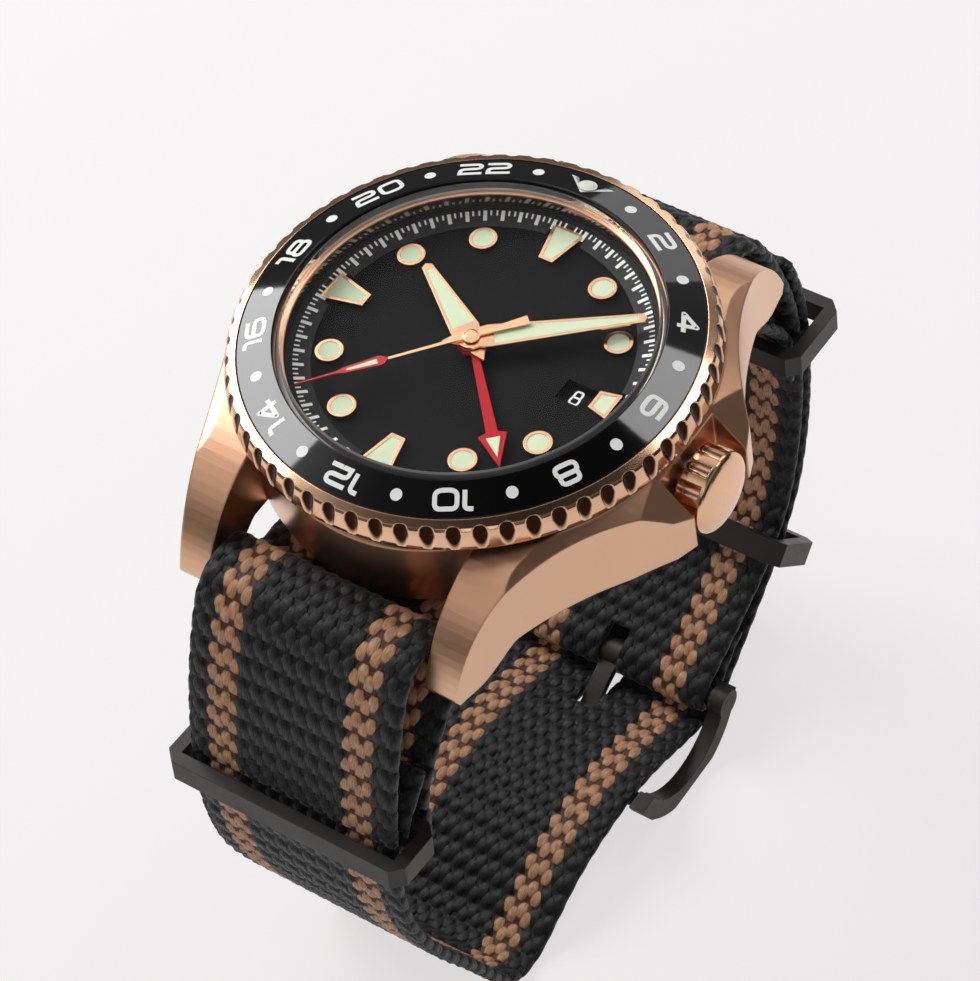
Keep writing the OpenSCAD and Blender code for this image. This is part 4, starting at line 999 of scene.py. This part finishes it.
@dataclass
class StrapRoute:
    """The strap's centre lines, seen from 3 o'clock as (Y, Z).

    The tail follows every third point of the side that it lies outside of, and stands off more towards
    its free end, by tail_flare for each point before flare_to.
    """

    thick: float = 1.3
    layer_gap: float = 0.08
    bar: float = 0.9
    fit: float = 0.05
    bar_at: tuple[float, float] = (23.2, -8.4)
    hinge: tuple[float, float] = (12.6, -58.4)
    hinge_radius: float = 0.75
    case_back: float = -10.55
    under_gap: float = 0.12
    tail_points: tuple[int, int, int] = (10, 41, 3)
    tail_gap: float = 0.06
    tail_flare: float = 0.12
    flare_to: int = 13
    steps: int = 5
    arc_steps: int = 14

    @property
    def under_case(self) -> float:
        """The height of the centre line behind the case."""
        return self.case_back - self.under_gap - self.thick / 2

    @staticmethod
    def normals(path: Array) -> Array:
        """Unit normals, to the left of the way along: the step between neighbours turned by 90 degrees."""
        i = np.arange(len(path))
        step = path[np.minimum(i + 1, len(path) - 1)] - path[np.maximum(i - 1, 0)]
        step /= np.linalg.norm(step, axis=1)[:, None]
        return np.stack([-step[:, 1], step[:, 0]], axis=1)

    def main(self) -> Array:
        """The long strap: fold at the buckle, 12 o'clock side, under the case, 6 o'clock side, tail."""
        layer = self.thick + self.layer_gap
        wrap = self.bar + self.fit + self.thick / 2
        loop = self.hinge_radius + self.fit + self.thick / 2
        bar_y, bar_z = self.bar_at
        shoulder = [
            (bar_y + 0.9, bar_z + wrap), (bar_y + 2.4, bar_z + 1.55), (bar_y + 4.4, bar_z + 0.3),
            (bar_y + 6.2, bar_z - 3.1), (31, -15.6), (32.3, -20),
        ]
        side_12 = shoulder + [
            (32.9, -24.5), (32.7, -32), (31.3, -39.5), (28.6, -46), (24, -50.8), (19.2, -53.6),
            (15.6, -55.35),
        ]
        side_6 = shoulder + [
            (33.3, -25), (33.9, -31.5), (33.1, -38.5), (30.6, -45.4), (27.4, -52), (24.9, -57.4),
        ]
        lobe = [(-23.4, -60.5), (-21.2, -62.3), (-18.4, -62.35), (-15.2, -60.9), (-11.5, -59.2)]
        through = [
            (-7.5, -58.25), (-3.5, -57.9), (-0.75, -57.9), (3.5, -58.75), (8, -60.25), (12.2, -61.3),
            (15.2, -60.3),
        ]
        outer = catmull(np.array(side_12), self.steps)[::-1]
        flip = np.array([-1.0, 1.0])
        i = np.arange(*self.tail_points)
        gap = layer + self.tail_gap + self.tail_flare * np.maximum(0, self.flare_to - i)
        tail = outer[i] - gap[:, None] * self.normals(outer)[i]
        front = catmull(np.vstack([np.array(side_6) * flip, lobe, through, tail]), self.steps)
        over_12 = arc(self.bar_at, wrap, 185, 90, self.arc_steps)
        under = np.array([(21.0, -10.5), (18.9, self.under_case - 0.05), (15.5, self.under_case)])
        (near_y, near_z), (end_y, end_z) = side_12[-2:]
        turn = math.degrees(math.atan2(near_z - end_z, near_y - end_y))
        fold = arc(self.hinge, loop, 90 + turn, 270 + turn, self.arc_steps)
        fold_end = np.array([(15.1, -58.35), (17.0, -56.5), (19.0, -55.35)])
        buckle = [fold_end[::-1], fold[::-1], outer]
        return np.vstack(buckle + [over_12[::-1], under, under[::-1] * flip, over_12 * flip, front])

    def lower(self) -> Array:
        """The short strap under the case, looped around the front ring."""
        dip = self.under_case - self.thick - self.layer_gap
        points = [
            (31.25, -30.5), (31.5, -27.2), (31.25, -24.6), (29.35, -21.3), (26.2, -17.9), (22.4, -14.9),
            (17.5, dip - 0.35), (10, dip), (-10, dip), (-17.5, dip - 0.35), (-22.3, -15.3), (-25.8, -19.2),
            (-28, -22.6), (-28.62, -25), (-28.7, -27.2), (-29.4, -28.15), (-30.3, -28.45), (-31.2, -28.1),
            (-31.88, -27.1), (-31.8, -25), (-30.8, -23.1), (-29.4, -21.7), (-27.9, -19.8),
        ]
        return catmull(np.array(points), self.steps)


@dataclass
class WovenBand:
    """Webbing along a route: two faces of yarn bumps, closed at its edges, ends and slots.

    A slot is (half width, lowest Y, highest Y, highest Z of the route's middle).
    """

    name: str
    node: str
    path: Array
    wardrobe: Wardrobe
    width: float = 22.0
    thick: float = 1.3
    cell_across: float = 1.5
    cell_along: float = 2.25
    relief: float = 0.34
    skin: float = 0.01
    edge_round: float = 0.55
    edge_left: float = 0.25
    edge_pull: float = 0.006
    off_ground: float = 0.005
    slots: tuple[tuple[float, float, float, float], ...] = ()

    def even(self) -> tuple[Array, Array]:
        """The route at even steps of a sixth of a rib, and each point's distance along it."""
        path = apart(self.path, 1e-3)
        run = np.r_[0.0, np.cumsum(np.linalg.norm(np.diff(path, axis=0), axis=1))]
        at = np.arange(int(run[-1] / (self.cell_along / 6)) + 1) * self.cell_along / 6
        line = np.stack([np.interp(at, run, path[:, 0]), np.interp(at, run, path[:, 1])], axis=1)
        kernel = np.array([1, 2, 3, 2, 1]) / 9.0
        padded = np.vstack([line[:1]] * 2 + [line] + [line[-1:]] * 2)
        soft = np.stack([np.convolve(padded[:, k], kernel, mode="valid") for k in (0, 1)], axis=1)
        return soft, at

    def bumps(self, across: Array, along: Array) -> Array:
        """The yarn's height, 0 to 1: two rows of elliptic bumps a rib, the second shifted by half a bump."""
        best = np.zeros(np.broadcast(across, along).shape)
        for shift, middle in ROWS:
            x = np.mod(across / self.cell_across + shift, 1.0) - 0.5
            y = np.mod(along / self.cell_along, 1.0) - middle
            best = np.maximum(best, 1.0 - (BUMP_ACROSS * x) ** 2 - (BUMP_ALONG * y) ** 2)
        return np.sqrt(np.clip(best, 0.0, 1.0))

    def build(self) -> list[bpy.types.Object]:
        """Makes the band: each face is the route plus its normal times half the thickness and relief."""
        line, along = self.even()
        normal = StrapRoute.normals(line)
        column = self.cell_across / 4
        columns = int(self.width / 2 / column)
        inner = np.arange(-columns, columns + 1) * column
        across = np.r_[-self.width / 2, inner, self.width / 2]
        cols = len(across)
        rows = len(line)
        a, s = np.meshgrid(across, along)
        yarn = self.bumps(a, s)
        edge = np.clip((self.width / 2 - np.abs(a)) / self.edge_round, 0.0, 1.0)
        round_off = np.sqrt(1.0 - (1.0 - edge) ** 2) * (1.0 - self.edge_left) + self.edge_left
        half = (self.thick / 2 - self.skin - self.relief * (1.0 - yarn)) * round_off
        pull = 1.0 - self.edge_pull * (1.0 - self.bumps(np.full_like(s, self.width / 2), s))
        ground = -DIAL_HEIGHT + self.off_ground
        faces_pts = []
        for side in (1.0, -1.0):
            y = line[:, :1] + normal[:, :1] * half * side
            z = line[:, 1:] + normal[:, 1:] * half * side
            faces_pts.append(np.stack([a * pull, y, np.maximum(z, ground)], axis=2).reshape(-1, 3))
        verts = np.vstack(faces_pts)
        count = rows * cols
        cell_r, cell_c = np.meshgrid(np.arange(rows - 1), np.arange(cols - 1), indexing="ij")
        solid = np.ones((rows - 1, cols - 1), dtype=bool)
        mid = 0.5 * (line[1:] + line[:-1])
        for x_half, y_low, y_high, z_high in self.slots:
            hit_r = (mid[:, 0] > y_low) & (mid[:, 0] < y_high) & (mid[:, 1] < z_high)
            hit_c = np.abs(0.5 * (across[1:] + across[:-1])) < x_half
            solid[np.ix_(hit_r, hit_c)] = False
        first = (cell_r * cols + cell_c)[solid]
        top = np.stack([first, first + 1, first + cols + 1, first + cols], axis=1)
        bottom = top[:, ::-1] + count
        faces = np.vstack([top, bottom, self.walls(solid, cols, count)])
        piece = new_mesh(self.name, verts, faces)
        self.map_weave(piece, np.tile(a.ravel(), 2), np.tile(s.ravel(), 2))
        dress(piece, self.wardrobe["striped_webbing"])
        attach(piece, "case")
        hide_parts(self.node)
        return [piece]

    @staticmethod
    def walls(solid: Array, cols: int, count: int) -> Array:
        """Quads that close the band wherever a kept cell has no kept neighbour.

        Args:
            solid: which cells are kept.
            cols: points in a row.
            count: points on one face.

        Returns:
            (m, 4) indices.
        """
        pad = np.pad(solid, 1)
        out = []
        left, right = (0, -1, (1, 0), (0, 0)), (0, 1, (0, 1), (1, 1))
        before, after = (-1, 0, (0, 0), (0, 1)), (1, 0, (1, 1), (1, 0))
        for dr, dc, p, q in (left, right, before, after):
            near = pad[1 + dr : pad.shape[0] - 1 + dr, 1 + dc : pad.shape[1] - 1 + dc]
            r, c = np.nonzero(solid & ~near)
            first = (r + p[0]) * cols + c + p[1]
            second = (r + q[0]) * cols + c + q[1]
            out.append(np.stack([second, first, first + count, second + count], axis=1))
        return np.vstack(out)

    @staticmethod
    def map_weave(piece: bpy.types.Object, across: Array, along: Array) -> None:
        """Stores each point's distances across and along the band, in millimetres, as a UV map."""
        loops = np.empty(len(piece.data.loops), dtype=np.int64)
        piece.data.loops.foreach_get("vertex_index", loops)
        layer = piece.data.uv_layers.new(name="webbing")
        layer.data.foreach_set("uv", np.stack([across[loops], along[loops]], axis=1).ravel())


@dataclass(frozen=True)
class Lamp:
    """A round area lamp: its place and diameter in metres and its power in watts."""

    name: str
    at: Place
    size: float
    power: float

    def build(self, target: Place) -> None:
        """Makes the lamp, facing the target."""
        data = bpy.data.lights.new(self.name, "AREA")
        data.shape = "DISK"
        data.size = self.size
        data.energy = self.power
        away = np.array(self.at) - target
        z = away / np.linalg.norm(away)
        x = np.cross((0.0, 1.0, 0.01), z)
        x /= np.linalg.norm(x)
        put(self.name, data).matrix_world = pose(x, np.cross(z, x), z, self.at)


@dataclass
class Studio:
    """Floor, lamps, world and camera."""

    camera_at: Place = (0.143364, -0.139577, 0.304857)
    right: Place = (0.8239065, 0.5543765, -0.1176640)
    down: Place = (0.3728716, -0.6866218, -0.6241133)
    forward: Place = (-0.4267844, 0.4703374, -0.7724233)
    lens: float = 138.84
    sensor: float = 36.0
    target: Place = (0.0, SEAT_TO_DIAL * MM, 0.05)
    floor_half: float = 3.0

    LAMPS = (
        Lamp("left_box", (-0.459, 0.122, 0.437), 0.45, 2.8),
        Lamp("back_box", (-0.162, 0.535, 0.327), 0.27, 0.19),
        Lamp("top_box", (0.085, 0.421, 0.657), 0.265, 0.64),
        Lamp("front_box", (0.3, -0.5, 0.55), 0.4, 0.4),
    )

    def floor(self) -> None:
        """A pale floor that shows near white to the camera and keeps the watch's shadow."""
        half = self.floor_half
        mesh = bpy.data.meshes.new("floor")
        corners = [(-half, -half, 0.0), (half, -half, 0.0), (half, half, 0.0), (-half, half, 0.0)]
        mesh.from_pydata(corners, [], [(0, 1, 2, 3)])
        piece = put("floor", mesh)
        mat, g, shader = start_material("floor_paper")
        g.fill(shader, Base_Color=linear((246, 244, 244)), Roughness=0.9)
        glow = g.add("Emission", linear((247, 245, 245)), 1.0)
        path = g.add("LightPath")
        mirrored = g.math("MULTIPLY", path.outputs["Is Glossy Ray"], 0.5)
        seen = g.math("MAXIMUM", path.outputs["Is Camera Ray"], mirrored)
        blend = g.add("MixShader", g.math("MULTIPLY", seen, 0.72), shader.outputs[0], glow.outputs[0])
        g.feed(g.first("OUTPUT_MATERIAL").inputs[0], blend.outputs[0])
        dress(piece, mat)

    def world(self) -> None:
        """A soft surrounding: white to the camera, and for the metals brightest part of the way up."""
        world = bpy.data.worlds.new("studio")
        bpy.context.scene.world = world
        world.use_nodes = True
        g = Graph(world.node_tree)
        back = g.first("BACKGROUND")
        way = g.add("SeparateXYZ", g.add("TexCoord").outputs["Generated"]).outputs
        up = way[2]
        rise = g.ramp(up, 0.3, 0.7, 0.14, 0.75)
        fall = g.ramp(up, 0.76, 0.94, 1.0, 0.12)
        side = g.ramp(way[0], -0.35, 0.05, 1.0, 0.3)
        mirrored = g.math("MULTIPLY", g.math("MULTIPLY", rise, fall), side)
        path = g.add("LightPath")
        soft = g.ramp(up, -0.2, 0.6, 0.22, 0.36)
        glossy = path.outputs["Is Glossy Ray"]
        spread = g.math("MULTIPLY", g.math("SUBTRACT", 1.0, glossy), soft)
        seen = g.math("ADD", g.math("MULTIPLY", glossy, mirrored), spread)
        not_scattered = g.math("LESS_THAN", path.outputs["Diffuse Depth"], 0.5)
        through = g.math("MULTIPLY", path.outputs["Is Transmission Ray"], not_scattered)
        white = g.math("MAXIMUM", path.outputs["Is Camera Ray"], through)
        g.fill(back, Color=linear((250, 248, 247)), Strength=g.math("MAXIMUM", seen, white))

    def build(self) -> None:
        """Sets the camera, lamps, world and floor."""
        data = bpy.data.cameras.new("camera")
        data.lens = self.lens
        data.sensor_width = self.sensor
        data.clip_start = 0.01
        camera = put("camera", data)
        camera.matrix_world = pose(self.right, -np.array(self.down), -np.array(self.forward), self.camera_at)
        bpy.context.scene.camera = camera
        for lamp in self.LAMPS:
            lamp.build(self.target)
        self.world()
        self.floor()
        bpy.context.scene.view_settings.view_transform = "Standard"


def main() -> None:
    """Loads the frame, builds each sub-assembly and reports its pieces."""
    logging.basicConfig(level=logging.INFO, format="%(name)s: %(message)s")
    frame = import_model()
    wardrobe = Wardrobe()
    route = StrapRoute()
    slots = ((1.3, 9.4, 14.3, -55.35), (0.95, 5.95, 10.3, -59.2))
    parts = (
        MetalWork(frame, wardrobe),
        BezelMarks(wardrobe),
        DialPrinting(wardrobe),
        CrystalRim(wardrobe),
        WovenBand("strap_webbing", "main_strap", route.main(), wardrobe, slots=slots),
        WovenBand("lower_webbing", "under_strap", route.lower(), wardrobe),
    )
    for part in parts:
        for piece in part.build():
            LOG.info("%s: %d faces", piece.name, len(piece.data.polygons))
    Studio().build()


if __name__ == "__main__":
    main()
